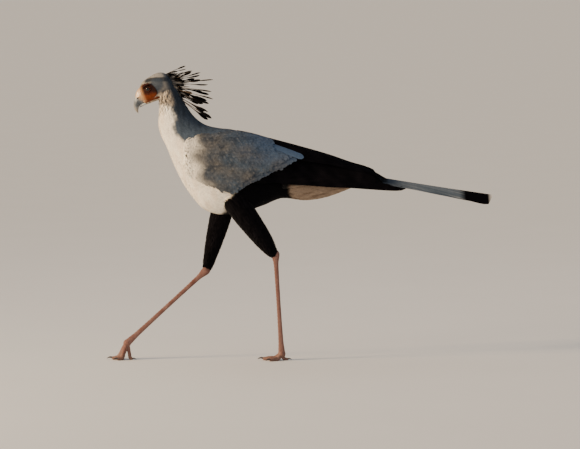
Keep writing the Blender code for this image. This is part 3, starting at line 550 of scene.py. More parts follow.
def paint(mesh, colours):
    """Gives a mesh a colour at each point."""
    full = np.concatenate([np.clip(colours, 0, 1), np.ones((len(colours), 1))], 1)
    layer = mesh.color_attributes.new("tint", "FLOAT_COLOR", "POINT")
    layer.data.foreach_set("color", full.astype(np.float32).ravel())


def mesh_object(name, points, quads, tris=None, tint=None, web=None, uv=None, soft=None):
    """An object from points in millimetres and faces as index arrays.

    web is a feather's own places for its barbs. soft is a shading normal for each point and the
    side (1 or -1) of each face.
    """
    kinds = [f for f in (quads, tris) if f is not None and len(f)]
    loops = np.concatenate([f.reshape(-1) for f in kinds]).astype(np.int32)
    sizes = np.concatenate([np.full(len(f), f.shape[1]) for f in kinds]).astype(np.int32)
    starts = np.concatenate([[0], np.cumsum(sizes)[:-1]]).astype(np.int32)
    mesh = bpy.data.meshes.new(name)
    mesh.vertices.add(len(points))
    set_points(mesh, points)
    mesh.loops.add(len(loops))
    mesh.loops.foreach_set("vertex_index", loops)
    mesh.polygons.add(len(sizes))
    mesh.polygons.foreach_set("loop_start", starts)
    mesh.polygons.foreach_set("loop_total", sizes)
    mesh.update(calc_edges=True)
    if tint is not None:
        paint(mesh, tint)
    if web is not None:
        layer = mesh.attributes.new("web", "FLOAT_VECTOR", "POINT")
        layer.data.foreach_set("vector", web.astype(np.float32).ravel())
    if uv is not None:
        layer = mesh.uv_layers.new(name="OFBake")
        layer.data.foreach_set("uv", uv.astype(np.float32)[loops].ravel())
    mesh.shade_smooth()
    mesh.validate(verbose=False)
    if soft is not None:
        normals, sides = soft
        corners = normals[loops] * np.repeat(sides, sizes)[:, None]
        mesh.normals_split_custom_set(corners.astype(np.float32).tolist())
    return linked(bpy.data.objects.new(name, mesh))


def linked(obj):
    """Puts an object in the scene."""
    bpy.context.scene.collection.objects.link(obj)
    return obj


def turned_out(points, quads, tris):
    """Quads and tris with their faces outwards, for one closed solid or many alike."""
    volume = 0.0
    for faces, a, b, c in ((quads, 0, 1, 2), (quads, 0, 2, 3), (tris, 0, 1, 2)):
        corners = points[..., faces, :]
        volume += (corners[..., a, :] * np.cross(corners[..., b, :], corners[..., c, :])).sum()
    return (quads[:, ::-1], tris[:, ::-1]) if volume < 0 else (quads, tris)


def grid_quads(rows, sides, closed=False):
    """Quads from each ring of points to the next, and when closed from the last to the first."""
    i, j = np.meshgrid(np.arange(rows if closed else rows - 1), np.arange(sides), indexing="ij")
    m, k = (i + 1) % rows, (j + 1) % sides
    corners = [i * sides + j, i * sides + k, m * sides + k, m * sides + j]
    return np.stack(corners, -1).reshape(-1, 4)


def grid_solid(rings):
    """Points, quads and tris of a closed tube through rings, (rows, sides, 3), with its ends drawn in."""
    rows, sides = rings.shape[:2]
    points = np.concatenate([rings.reshape(-1, 3), rings[:1].mean(1), rings[-1:].mean(1)])
    first, last = len(points) - 2, len(points) - 1
    j = np.arange(sides)
    k = (j + 1) % sides
    end = (rows - 1) * sides
    caps = [np.stack([np.full(sides, first), k, j], -1), np.stack([np.full(sides, last), end + j, end + k], -1)]
    return points, grid_quads(rows, sides), np.concatenate(caps)


def tube_object(name, rings, colour=None):
    """A closed tube through rings, painted by colour(points)."""
    points, quads, tris = grid_solid(rings)
    quads, tris = turned_out(points, quads, tris)
    return mesh_object(name, points, quads, tris, colour(points) if colour else None)


def blade_faces(rows, columns, flat):
    """Faces of one closed blade: its top points row by row, then its under points but the edges'.

    A flat blade has no under points, and one long quad closes each row from below.
    """

    def top(r, c):
        """A top point's number."""
        return r * columns + c

    def low(r, c):
        """An under point's number; the blade's edges have none of their own."""
        if c in (0, columns - 1):
            return top(r, c)
        return rows * columns + r * (columns - 2) + c - 1

    quads, tris, sides = [], [], []
    for r in range(rows - 1):
        for c in range(columns - 1):
            quads.append((top(r, c), top(r, c + 1), top(r + 1, c + 1), top(r + 1, c)))
            sides.append(1)
            if not flat:
                quads.append((low(r, c), low(r + 1, c), low(r + 1, c + 1), low(r, c + 1)))
                sides.append(-1)
        if flat:
            quads.append((top(r, 0), top(r + 1, 0), top(r + 1, columns - 1), top(r, columns - 1)))
            sides.append(-1)
    for r, turned in ((0, True), (rows - 1, False)):
        if flat:
            cap = [top(r, c) for c in range(columns)]
            tris.append(tuple(cap[::-1]) if turned else tuple(cap))
            continue
        for c in range(columns - 1):
            a, b, d, e = top(r, c), top(r, c + 1), low(r, c + 1), low(r, c)
            if c == 0:
                face = (a, b, d)
            elif c == columns - 2:
                face = (a, b, e)
            else:
                quads.append((a, e, d, b) if turned else (a, b, d, e))
                sides.append(1)
                continue
            tris.append(face[::-1] if turned else face)
    return np.array(quads), np.array(tris), np.array(sides + [1] * len(tris))


def blades_object(name, base, normal, rise, under, tint, web, uv):
    """Many closed blades as one mesh.

    base and normal are (blades, rows, columns, 3). rise lifts the top, and under sinks the bottom or,
    as None, leaves it flat.
    """
    count, rows, columns = base.shape[:3]
    flat = under is None
    top = base + normal * rise[..., None]
    across = unit(base[:, :, -1:] - base[:, :, :1], 1e-6)
    shade = unit(normal + across * (np.linspace(-1, 1, columns) * RELIEF)[:, None])
    points = top.reshape(count, -1, 3)
    pick = np.arange(rows * columns)
    if not flat:
        inner = pick.reshape(rows, columns)[:, 1:-1].ravel()
        bottom = (base - normal * under[..., None]).reshape(count, -1, 3)[:, inner]
        points = np.concatenate([points, bottom], 1)
        pick = np.concatenate([pick, inner])
    quads, tris, sides = blade_faces(rows, columns, flat)
    quads, tris = turned_out(points[:SAMPLE_BLADES], quads, tris)
    cut = len(quads)
    sides = np.concatenate([np.tile(sides[:cut], count), np.tile(sides[cut:], count)])
    shift = (np.arange(count) * points.shape[1])[:, None, None]
    shade, tint, web, uv = (
        field.reshape(count, rows * columns, -1)[:, pick].reshape(count * len(pick), -1)
        for field in (shade, tint, web, uv)
    )
    return mesh_object(
        name,
        points.reshape(-1, 3),
        (quads + shift).reshape(-1, 4),
        (tris + shift).reshape(-1, 3),
        tint,
        web,
        uv,
        (shade, sides),
    )


CHARTS = {}


def chart(part, u, v):
    """A part's own unwrap: u and v from 0 to 1, in its square of the map."""
    index = CHARTS.setdefault(part, len(CHARTS))
    size = 1 / CHART_COUNT
    corner = np.array([index % CHART_COUNT, index // CHART_COUNT]) * size
    places = np.clip(np.stack([u, v], -1), 0, 1)
    return places * (size - 2 * CHART_MARGIN) + CHART_MARGIN + corner


def small_feathers(
    name,
    ground,
    places,
    length,
    width,
    depth,
    yaw,
    colour,
    seed,
    lift=0.3,
    ruffle=0.14,
    spread=0.13,
    fray=0.14,
    vary=0.05,
    outline=SOFT_TIP,
    outward=None,
):
    """Small feathers on a surface, each bent to it from its sunk root to its lying tip.

    ground is the surface, the small steps for its slopes, its chart, and its ranges for the map.
    depth sinks the roots and lift the whole feather; ruffle lifts tips at random, spread turns
    feathers, fray makes their edges uneven, and vary their shade.
    """
    draw = np.random.default_rng(seed)
    surface, steps, part, span = ground
    u, v = places
    count = len(u)
    rows, shape = outline.T
    length, width, depth, yaw, ruffle = (
        np.broadcast_to(np.asarray(a, float), count).copy() for a in (length, width, depth, yaw, ruffle)
    )
    length *= draw.uniform(0.82, 1.18, count)
    width *= draw.uniform(0.85, 1.15, count)
    yaw = yaw + draw.normal(0, spread, count)
    du, dv = steps
    along = np.linalg.norm(surface(u + du, v) - surface(u - du, v), axis=-1) / (2 * du)
    around = np.linalg.norm(surface(u, v + dv) - surface(u, v - dv), axis=-1) / (2 * dv)

    def each(values):
        """One value to a feather, ready for its rows and sides."""
        return values[:, None, None]

    t = rows[None, :, None]
    side = np.array([-1.0, 0.0, 1.0])[None, None, :]
    uneven = 1 + draw.normal(0, fray, (count, len(rows), 3))
    off = shape[None, :, None] * side * each(width) / 2 * uneven
    bow = each(draw.normal(0, 0.06, count)) * each(length) * t**2
    run = t * each(length)
    cos, sin = each(np.cos(yaw)), each(np.sin(yaw))
    out = off + bow
    uu = each(u) + (run * cos - out * sin) / each(np.maximum(along, 1e-6))
    vv = each(v) + (run * sin + out * cos) / each(np.maximum(around, 1e-6))
    base = surface(uu, vv)
    normal = normals_of(surface, uu, vv, steps)
    if outward is not None:
        flip = np.sign(normal @ outward)
        normal = normal * np.where(flip == 0, 1, flip)[..., None]
    tilt = each(draw.normal(0, 0.04, count)) * off
    sunk = each(depth) * (1 - t) ** 2.0 + lift
    sunk = sunk + each(np.clip(draw.normal(0, 1, count), -1.6, 1.6) * ruffle) * t**1.5
    base = base - normal * (sunk + tilt)[..., None]
    rise = CAMBER * each(width) * shape[None, :, None] * (1 - side**2)
    # Each feather's tone strays at random. It is also painted darker toward its root and lighter toward its
    # tip, a little more at its edges: painted shade where the feathers over it cover it.
    shade = each(1 + draw.normal(0, vary, count)) * (0.9 + 0.12 * t + 0.08 * (t - 0.5) * np.abs(side))
    tints = colour(base.reshape(-1, 3)).reshape(base.shape) * shade[..., None]
    web = np.stack(np.broadcast_arrays(off, run, each(draw.uniform(0, 1, count))), -1)
    (u0, u1), (v0, v1) = span
    roots = chart(part, (u - u0) / (u1 - u0), (v - v0) / (v1 - v0))
    uv = roots[:, None, None, :] + PATCH * np.stack(np.broadcast_arrays(side * 0.5, t - 0.5), -1)
    made = []
    most = MOST_TRIANGLES // (6 * len(outline) - 4)
    for first in range(0, count, most):
        part_of = slice(first, first + most)
        fields = [field[part_of] for field in (base, normal, rise, tints, web, uv)]
        made.append(blades_object(f"{name}_{len(made) + 1}", *fields[:3], None, *fields[3:]))
    return made


LINE_PLACES = 97  # along one row, to measure it
SCATTER = 0.16  # of the gap between two feathers


def rows_on(ground, u_range, v_range, gaps, seed, keep=None, wrap=False):
    """Places in offset rows over a surface, thinned where its rows crowd, with a little scatter.

    gaps are those from row to row and along a row, in millimetres, or give them from u.
    keep(points, v) says which places stay, and wrap closes each row.
    """
    draw = np.random.default_rng(seed)
    surface, (du, _) = ground[:2]
    us, vs = [], []
    u, row = u_range[0], 0
    v_line = np.linspace(*v_range, LINE_PLACES)
    while u < u_range[1]:
        line = surface(np.full(LINE_PLACES, u), v_line)
        ahead = surface(np.full(LINE_PLACES, u + du), v_line)
        along = np.linalg.norm(ahead - line, axis=-1) / du
        usual = np.percentile(along, 75)
        row_gap, gap = gaps(u) if callable(gaps) else gaps
        arc = np.concatenate([[0], np.cumsum(np.linalg.norm(np.diff(line, axis=0), axis=-1))])
        count = max(3, int(arc[-1] / gap))
        at = (np.arange(count) + (0.5 if row % 2 else 0.0) + (0 if wrap else 0.25)) / count * arc[-1]
        at = at + draw.normal(0, gap * SCATTER, count)
        v = np.interp(at, arc, v_line)
        step = row_gap / usual
        kept = draw.uniform(0, 1, count) < np.interp(v, v_line, along) / usual
        us.append(u + draw.normal(0, step * SCATTER, count)[kept])
        vs.append(v[kept])
        u += step
        row += 1
    u, v = np.concatenate(us), np.concatenate(vs)
    inside = (u >= u_range[0]) & (u <= u_range[1])
    u, v = u[inside], v[inside]
    if keep is not None:
        kept = keep(surface(u, v), v)
        u, v = u[kept], v[kept]
    return u, v


# Large feathers

BIG_ROWS = np.concatenate([np.linspace(0, 0.8, 13), np.linspace(0.84, 1.0, 7)])
VANE_ROOT = 0.5  # a large feather's width at its root
VANE_THICK = 0.45
SHAFT_RISE = 0.55


def vane_width(t, tip):
    """Half width of a long feather along it: a slow swell, then a round tip."""
    swell = VANE_ROOT + (1 - VANE_ROOT) * np.clip(t / 0.35, 0, 1) ** 0.7
    past = np.clip((t - tip) / (1 - tip), 0, 1)
    return swell * np.sqrt(np.maximum(1 - past**2, 0.0)) * (1 - 0.1 * np.clip((t - 0.6) / 0.4, 0, 1))


def ragged(t, side, draw, amount):
    """Small splits and unevenness of a feather's edge."""
    waves = sum(np.sin(t * draw.uniform(20, 90) + draw.uniform(0, 6)) for _ in range(4)) / 4
    return 1 + amount * waves * np.abs(side) ** 3


def big_feather(surface, start, end, half, depth, draw, columns=9, tip=0.9):
    """One long feather on a surface, as arrays for blades_object, with a raised shaft."""
    t = BIG_ROWS[:, None]
    side = np.linspace(-1, 1, columns)[None, :]
    a = start[0] + (end[0] - start[0]) * t
    b = start[1] + (end[1] - start[1]) * t
    small = (0.5, 0.5 if abs(start[1]) > 3 else 0.002)
    reach_a = np.linalg.norm(surface(a + small[0], b) - surface(a, b), axis=-1) / small[0]
    reach_b = np.linalg.norm(surface(a, b + small[1]) - surface(a, b), axis=-1) / small[1]
    run_a, run_b = (end[0] - start[0]) * reach_a, (end[1] - start[1]) * reach_b
    run = np.hypot(run_a, run_b)
    wide = half * vane_width(t, tip) * ragged(t, side, draw, 0.045)
    off = wide * side
    uu = a - off * run_b / run / reach_a
    vv = b + off * run_a / run / reach_b
    base = surface(uu, vv)
    normal = normals_of(surface, uu, vv, (1.0, small[1] * 2))
    outward = np.sign(normal[..., 1] * -1 + normal[..., 2] * 0.6)
    normal = normal * np.where(outward == 0, 1, outward)[..., None]
    deep = depth(t) if callable(depth) else depth
    base = base - normal * (deep + 0 * off)[..., None]
    bump = np.exp(-((off / 1.1) ** 2)) * SHAFT_RISE * (1 - 0.7 * t)
    edge = VANE_THICK * 0.5 * (1 - side**2)
    web = np.stack(np.broadcast_arrays(off, t * run, draw.uniform()), -1)
    return base, normal, edge + bump, edge + bump * 0.6, web, t + 0 * off, side + 0 * off


def big_feathers_object(name, made, colour, part):
    """Joins long feathers to one mesh. colour(points, t, side, index) paints them."""
    alike = []
    for fields in made:
        base, normal = fields[:2]
        turn = np.cross(base[:-1, 1:] - base[:-1, :-1], base[1:, :-1] - base[:-1, :-1])
        if (turn * normal[:-1, :-1]).sum() < 0:
            fields = [f[:, ::-1] for f in fields]
        alike.append(fields)
    base, normal, rise, under, web, t, side = (np.stack(a) for a in zip(*alike))
    index = np.broadcast_to(np.arange(len(made))[:, None, None], t.shape)
    tint = colour(base, t, side, index)
    uv = chart(part, (index + 0.12 + 0.38 * (side + 1)) / len(made), t)
    return blades_object(name, base, normal, rise, under, tint, web, uv)


# Materials


def add(tree, kind, settings=None, **inputs):
    """A node with settings, and inputs that are values or other nodes' outputs.

    An input is named as its socket, with _ for a space, or i0, i1 and so on by its number.
    """
    made = tree.nodes.new(kind)
    for key, value in (settings or {}).items():
        setattr(made, key, value)
    for key, value in inputs.items():
        numbered = key[0] == "i" and key[1:].isdigit()
        socket = made.inputs[int(key[1:]) if numbered else key.replace("_", " ")]
        if isinstance(value, bpy.types.NodeSocket):
            tree.links.new(value, socket)
        else:
            socket.default_value = value
    return made


def set_all(node, **values):
    """Sets a node's own sockets to fixed values."""
    for key, value in values.items():
        node.inputs[key.replace("_", " ")].default_value = value


def blank(name, **values):
    """A new material with its shader's sockets set."""
    made = bpy.data.materials.new(name)
    made.use_nodes = True
    shader = made.node_tree.nodes["Principled BSDF"]
    set_all(shader, **values)
    return made, made.node_tree, shader


TINT = {"attribute_name": "tint"}
WEB = {"attribute_name": "web"}
# Noise mostly stays within these, so they are spread to a pattern's darkest and lightest share.
NOISE_RANGE = {"From_Min": 0.3, "From_Max": 0.7}


def feather_material(name, roughness, sheen, barbs, strength, fleck):
    """Feather: its colour from the bird's pattern, with fine barbs slanting off the shaft.

    Matt keratin barbs hardly shine. barbs is their number to the millimetre, and fleck how far
    their colour strays.
    """
    made, tree, shader = blank(
        name,
        Roughness=roughness,
        Sheen_Weight=sheen,
        Sheen_Roughness=0.5,
        Specular_IOR_Level=0.01,
    )
    tint = add(tree, "ShaderNodeAttribute", TINT).outputs["Color"]
    web = add(tree, "ShaderNodeAttribute", WEB).outputs["Vector"]
    split = add(tree, "ShaderNodeSeparateXYZ", Vector=web).outputs
    out = add(tree, "ShaderNodeMath", {"operation": "ABSOLUTE"}, i0=split["X"]).outputs[0]
    # Each barb runs out and toward the tip, and each feather starts its pattern elsewhere.
    sloped = {"operation": "MULTIPLY_ADD"}
    slant = add(tree, "ShaderNodeMath", sloped, i0=out, i1=-0.9, i2=split["Y"]).outputs[0]
    phase = add(tree, "ShaderNodeMath", sloped, i0=split["Z"], i1=37.0, i2=slant).outputs[0]
    place = add(tree, "ShaderNodeCombineXYZ", X=phase, Y=out, Z=split["Z"]).outputs[0]
    along_barb = add(tree, "ShaderNodeMapping", Vector=place, Scale=(1.0, 0.12, 1.0)).outputs[0]
    lines = add(tree, "ShaderNodeTexNoise", Vector=along_barb, Scale=barbs, Detail=3.0, Roughness=0.6)
    lines = lines.outputs["Fac"]
    # Broad patches, some 26 mm across, keep a field of feathers from looking printed.
    body = add(tree, "ShaderNodeTexCoord").outputs["Object"]
    patchy = add(tree, "ShaderNodeTexNoise", Vector=body, Scale=38.0, Detail=4.0, Roughness=0.6)
    patchy = patchy.outputs["Fac"]
    shades = []
    for noisy, stray in ((lines, fleck), (patchy, 0.1)):
        spread = {"To_Min": 1 - stray, "To_Max": 1 + stray, **NOISE_RANGE}
        shades.append(add(tree, "ShaderNodeMapRange", Value=noisy, **spread).outputs[0])
    both = add(tree, "ShaderNodeMath", {"operation": "MULTIPLY"}, i0=shades[0], i1=shades[1]).outputs[0]
    colour = add(tree, "ShaderNodeVectorMath", {"operation": "SCALE"}, i0=tint, Scale=both).outputs[0]
    tree.links.new(colour, shader.inputs["Base Color"])
    bump = add(tree, "ShaderNodeBump", Strength=strength, Distance=0.0006, Height=lines)
    tree.links.new(bump.outputs[0], shader.inputs["Normal"])
    return made


def skin_material(name, roughness, depth, strength, scatter, pebbles):
    """Bare skin: its colour from the bird's pattern, with folds and pebbly scales as bump.

    The folds are about 4 mm apart, and pebbles is the number of scales to the metre.
    """
    made, tree, shader = blank(
        name,
        Roughness=roughness,
        Subsurface_Weight=scatter,
        Subsurface_Scale=0.002,
        Specular_IOR_Level=0.12,
    )
    tint = add(tree, "ShaderNodeAttribute", TINT).outputs["Color"]
    body = add(tree, "ShaderNodeTexCoord").outputs["Object"]
    creases = {"Scale": 260.0, "Detail": 5.0, "Roughness": 0.62, "Distortion": 0.6}
    folds = add(tree, "ShaderNodeTexNoise", Vector=body, **creases).outputs["Fac"]
    cells = add(tree, "ShaderNodeTexVoronoi", {"feature": "DISTANCE_TO_EDGE"}, Vector=body, Scale=pebbles)
    edge = add(tree, "ShaderNodeMapRange", Value=cells.outputs["Distance"], From_Max=0.25).outputs[0]
    shade = add(tree, "ShaderNodeMapRange", Value=folds, To_Min=0.78, To_Max=1.16, **NOISE_RANGE).outputs[0]
    dim = add(tree, "ShaderNodeMapRange", Value=edge, To_Min=0.8, To_Max=1.03).outputs[0]
    both = add(tree, "ShaderNodeMath", {"operation": "MULTIPLY"}, i0=shade, i1=dim).outputs[0]
    colour = add(tree, "ShaderNodeVectorMath", {"operation": "SCALE"}, i0=tint, Scale=both).outputs[0]
    tree.links.new(colour, shader.inputs["Base Color"])
    height = add(tree, "ShaderNodeMath", {"operation": "MULTIPLY_ADD"}, i0=edge, i1=0.6, i2=folds).outputs[0]
    bump = add(tree, "ShaderNodeBump", Strength=strength, Distance=depth, Height=height)
    tree.links.new(bump.outputs[0], shader.inputs["Normal"])
    return made


def horn_material(name, roughness, coat):
    """Horn: its colour from the pattern, with long faint growth lines a few millimetres apart."""
    made, tree, shader = blank(
        name,
        Roughness=roughness,
        Coat_Weight=coat,
        Coat_Roughness=0.25,
        Specular_IOR_Level=0.5,
    )
    tint = add(tree, "ShaderNodeAttribute", TINT).outputs["Color"]
    body = add(tree, "ShaderNodeTexCoord").outputs["Object"]
    long = add(tree, "ShaderNodeMapping", Vector=body, Scale=(260.0, 520.0, 110.0)).outputs[0]
    lines = add(tree, "ShaderNodeTexNoise", Vector=long, Scale=1.0, Detail=5.0, Roughness=0.65).outputs["Fac"]
    shade = add(tree, "ShaderNodeMapRange", Value=lines, To_Min=0.82, To_Max=1.12, **NOISE_RANGE).outputs[0]
    colour = add(tree, "ShaderNodeVectorMath", {"operation": "SCALE"}, i0=tint, Scale=shade).outputs[0]
    tree.links.new(colour, shader.inputs["Base Color"])
    bump = add(tree, "ShaderNodeBump", Strength=0.35, Distance=0.0003, Height=lines)
    tree.links.new(bump.outputs[0], shader.inputs["Normal"])
    return made


def eye_material():
    """Eye: a wet clear coat over a dark iris, whose pattern is in the ball's own colours."""
    made, tree, shader = blank(
        "eye_wet",
        Roughness=0.12,
        Coat_Weight=1.0,
        Coat_Roughness=0.04,
        Specular_IOR_Level=0.0,
    )
    tint = add(tree, "ShaderNodeAttribute", TINT).outputs["Color"]
    tree.links.new(tint, shader.inputs["Base Color"])
    return made


MATERIALS = {
    # Small body feathers: soft and matt, with a faint bloom.
    "coat": feather_material("feather_coat", 0.88, 0.04, 1.6, 0.8, 0.25),
    # Flight and tail feathers: stiffer and smoother, without bloom.
    "flight": feather_material("feather_flight", 0.8, 0.0, 1.2, 0.6, 0.25),
    # Crest feathers and lashes: close black webs on a shaft.
    "crest": feather_material("feather_crest", 0.75, 0.02, 1.3, 0.6, 0.25),
    # Bare skin of the face and under the coat: soft, creased, a little light inside.
    "skin": skin_material("skin_bare", 0.55, 0.0009, 0.8, 0.15, 700.0),
    # Scaly skin of the legs: dry, with scales some 2 mm wide.
    "leg": skin_material("skin_leg_scales", 0.6, 0.0005, 0.55, 0.05, 480.0),
    # Horn of the bill: smooth with a dull polish.
    "horn": horn_material("horn_bill", 0.38, 0.25),
    # Horn of the claws: the same, worn a little duller.
    "claw": horn_material("horn_claw", 0.42, 0.2),
    "eye": eye_material(),
}


def dress(obj, look, *nodes, slot=None):
    """Gives a piece its material and its body, and hides the solids that it stands for."""
    obj.data.materials.clear()
    obj.data.materials.append(MATERIALS[look])
    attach(obj, "root")
    if nodes:
        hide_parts(*nodes)
    return obj


def dress_all(made, look):
    """Dresses pieces that stand for no solid."""
    for obj in made:
        dress(obj, look)


# Skin

RUMP_FROM, RUMP_TO = -90.0, 206.0
RUMP_SINK = ((100, 160), (12.0, 9.0))  # how far the down lies under the wings: x places, then depths
CORE_TO = -30.0  # the wing's core ends here, under the flight feathers
CORE_THICK = 24
THIGH_FLAT = 0.74  # a thigh's width for its depth


def thigh_surface(line, side):
    """A thigh's outer face as surface(share, turn), from the hip to the ankle."""
    share = np.linspace(0, 1, 40)
    x, z, radius = smooth((np.linspace(0, 1, len(line)), np.array(line, float)), share).T
    points = np.stack([x, side * (HIP_Y + (ANKLE_Y - HIP_Y) * share), z], -1)
    ahead = unit(np.gradient(points, axis=0))
    across = unit(SIDEWAYS - ahead * (ahead @ SIDEWAYS)[:, None])
    front = np.cross(ahead, across)
    table = (share, np.concatenate([points, across, front, radius[:, None]], 1))

    def surface(share, turn, grow=0.0):
        """Its points at shares of its length and turns round it, grown outward."""
        middle, across, front, radius = np.split(smooth(table, share), (3, 6, 9), axis=-1)
        reach = radius + np.asarray(grow, float)[..., None]
        turn = np.asarray(turn, float)[..., None]
        return middle + across * (reach * THIGH_FLAT) * np.sin(turn) + front * reach * np.cos(turn)

    return surface


def wing_core_rings(rows=40, across=14):
    """The solid middle of the left wing, from the shoulder back, under its coat."""
    rings = []
    for share in np.linspace(0, 1, rows):
        x = WING[0, 0] + 4 + (CORE_TO - WING[0, 0] - 4) * share
        lowest = max(line_height(COVERT_LINE, x), smooth(WING_ROWS, x)[1])
        down = np.linspace(0.03, float(down_at(x, lowest + 6)), across)
        at = np.full(across, x)
        point = wing_surface(at, down)
        normal = normals_of(wing_surface, at, down, (1.0, 0.01))
        normal *= np.where(normal[:, 1:2] < 0, 1, -1)
        ends = min(1.0, 4 * share + 0.2, 3 * (1 - share) + 0.2)
        deep = (3 + CORE_THICK * np.sin(PI * np.linspace(0, 1, across)) ** 0.6) * ends
        outer = point - normal * WING_COAT
        inner = point - normal * (WING_COAT + deep)[:, None]
        rings.append(np.concatenate([outer, inner[::-1]]))
    return np.array(rings)


def rump_rings(rows=40, across=14):
    """Dark down between the folded wings and over the root of the tail, kept under their feathers."""
    rings = []
    for x in np.linspace(RUMP_FROM, RUMP_TO, rows):
        top, bottom = smooth(WING_ROWS, x)[:2]
        full = float(step_up(RUMP_TO, RUMP_TO - 40, x))
        z = np.linspace(top - 7 - 14 * (1 - full), bottom + 14, across)
        at = np.full(across, x)
        wing = -wing_surface(at, down_at(at, z))[:, 1]
        side = -side_surface(at, z)[:, 1]
        half = np.maximum(np.minimum(wing, side) - np.interp(x, *RUMP_SINK), 2) * (0.85 + 0.15 * full)
        left = np.stack([at, -half, z], -1)
        rings.append(np.concatenate([left, (left * (1, -1, 1))[::-1]]))
    return np.array(rings)


def joined(name, parts):
    """Joins mesh objects as they are."""
    for obj in bpy.context.view_layer.objects:
        obj.select_set(False)
    for obj in parts:
        obj.select_set(True)
    bpy.context.view_layer.objects.active = parts[0]
    bpy.ops.object.join()
    parts[0].name = name
    return parts[0]


def remeshed(obj, voxel, rounds):
    """One closed skin over overlapping solids, then softened."""
    remesh = obj.modifiers.new("skin", "REMESH")
    remesh.mode = "VOXEL"
    remesh.voxel_size = voxel * MM
    soften = obj.modifiers.new("soften", "SMOOTH")
    soften.factor = 0.5
    soften.iterations = rounds
    graph = bpy.context.evaluated_depsgraph_get()
    graph.update()
    mesh = bpy.data.meshes.new_from_object(obj.evaluated_get(graph))
    obj.modifiers.clear()
    obj.data = mesh
    return obj


def around(surface, places, sides, grow=0.0):
    """Rings round a surface at places along it."""
    turn = np.linspace(0, 2 * PI, sides, endpoint=False)[None, :]
    place = np.asarray(places)[:, None]
    return surface(place + 0 * turn, turn + 0 * place, grow + 0 * (place + turn))


def body_skin():
    """The skin of neck, trunk, wings, rump and thighs, as deep under the solids as the coat."""
    parts = [tube_object("trunk", around(body_surface, np.linspace(0.35, BODY_END, 110), 48, -BODY_COAT))]
    for line, side in ((NEAR_THIGH, -1), (FAR_THIGH, 1)):
        rings = around(thigh_surface(line, side), np.linspace(0.0, 0.97, 40), 48, -THIGH_COAT)
        parts.append(tube_object("thigh", rings))
    rings = wing_core_rings()
    for side in (1, -1):
        parts.append(tube_object("wing", rings * (1, side, 1)))
    parts.append(tube_object("rump", rump_rings()))
    return remeshed(joined("skin", parts), 3.2, 8)


def head_skin():
    """The head's skin: at the solid's face where it is bare, and under the coat elsewhere."""
    turn, place = np.meshgrid(np.linspace(0, 2 * PI, 96, endpoint=False), np.linspace(-46.8, 49.5, 120))
    points = head_surface(place, turn)
    bare = bare_face(points.reshape(-1, 3)).reshape(place.shape)
    skull = tube_object("skull", head_surface(place, turn, -2.2 * (1 - bare)))
    nape = tube_object("nape", around(body_surface, np.linspace(0.0, 1.6, 30), 96, -3.5))
    parts = [skull, nape, *(brow(side) for side, _ in SIDES)]
    return remeshed(joined("head_skin", parts), 1.3, 3)


def swept(path, halves, sides=16, tall=None):
    """Rings round a path."""
    path, halves = np.asarray(path, float), np.asarray(halves, float)
    tall = halves if tall is None else np.asarray(tall, float)
    ahead = unit(np.gradient(path, axis=0))
    side = SIDEWAYS - ahead * (ahead @ SIDEWAYS)[:, None]
    length = np.linalg.norm(side, axis=1, keepdims=True)
    side = np.where(length > 0.2, unit(side, 1e-6), HEAD_UP)
    across = np.cross(ahead, side)
    turn = np.linspace(0, 2 * PI, sides, endpoint=False)
    return (
        path[:, None]
        + side[:, None] * (halves[:, None] * np.sin(turn))[..., None]
        + across[:, None] * (tall[:, None] * np.cos(turn))[..., None]
    )


def fine(points, count):
    """A smooth path through points."""
    return smooth(counted(points), np.linspace(0, len(points) - 1, count))


def brow(side):
    """The bony ridge that shades the eye."""
    path = fine([on_head(forward, up, side * out) for forward, up, out in BROW], 40)
    wide = np.interp(np.linspace(0, 1, 40), [0, 0.25, 0.5, 0.8, 1], [0.8, 2.2, 3.0, 2.2, 0.8])
    return tube_object("brow", swept(path, wide, 20, wide * 0.8))


def painted(obj, colour):
    """Paints a finished mesh at its points."""
    paint(obj.data, colour(points_of(obj.data)))
    obj.data.shade_smooth()
    return obj


def face_colour(points):
    """The face's reds: brighter at the cheek, darker before and over the eye, cream at the cere. The darker
    skin round and behind the eye is partly its own colour and partly painted shade; the brighter lower cheek is
    partly painted light.
    """
    forward, up = head_places(points)
    from_eye = np.hypot((forward - EYE[0] + 2) / 1.35, up - EYE[1] - 2) + 3 * noise(points, 18, 35)
    # Darker round the eye and behind it: partly the skin's own colour, partly painted shade.
    dark_and_shade_near_eye = step_up(27, 11, from_eye)
    behind = step_up(14, 2, forward) * step_up(-20, -6, up)
    red = mixed(FACE, FACE_DARK, np.clip(dark_and_shade_near_eye * 0.95 + behind * 0.7, 0, 0.97))
    red = mixed(red, FACE_DARK, spots(points, 15, 33) * 0.55)
    # Brighter orange low on the cheek: partly the skin's own colour, partly painted light.
    red = mixed(red, CHEEK_ORANGE_LIT, step_up(-8, -20, up) * step_up(-4, 10, forward) * 0.3)
    red = mixed(red, FACE_EDGE, step_up(33, 46, forward) * 0.85)
    return mixed(marking(points), red, bare_face(points))


def grooved(obj):
    """Presses the line of the mouth and the sockets of the eyes into the head's skin."""
    points = points_of(obj.data)
    forward, up = head_places(points)
    line = MOUTH_UP - 1.2 * np.sin(PI * (50 - forward) / 55)
    near = np.exp(-(((up - line) / 0.9) ** 2)) * step_up(GAPE_FORWARD - 3, GAPE_FORWARD + 4, forward)
    socket = np.hypot((forward - EYE[0]), (up - EYE[1]) / 0.92)
    hollow = step_up(LID_RADIUS - 0.2, LID_RADIUS - 2.0, socket) * step_up(8, 14, np.abs(points[:, 1]))
    points[:, 1] -= np.sign(points[:, 1]) * (near * 1.5 + hollow * 3.2)
    set_points(obj.data, points)
    return obj


dress(painted(body_skin(), marking), "skin", "neck", "torso", "thigh_left", "thigh_right")
dress(painted(grooved(head_skin()), face_colour), "skin", "head")


# Lids, lashes, eyes

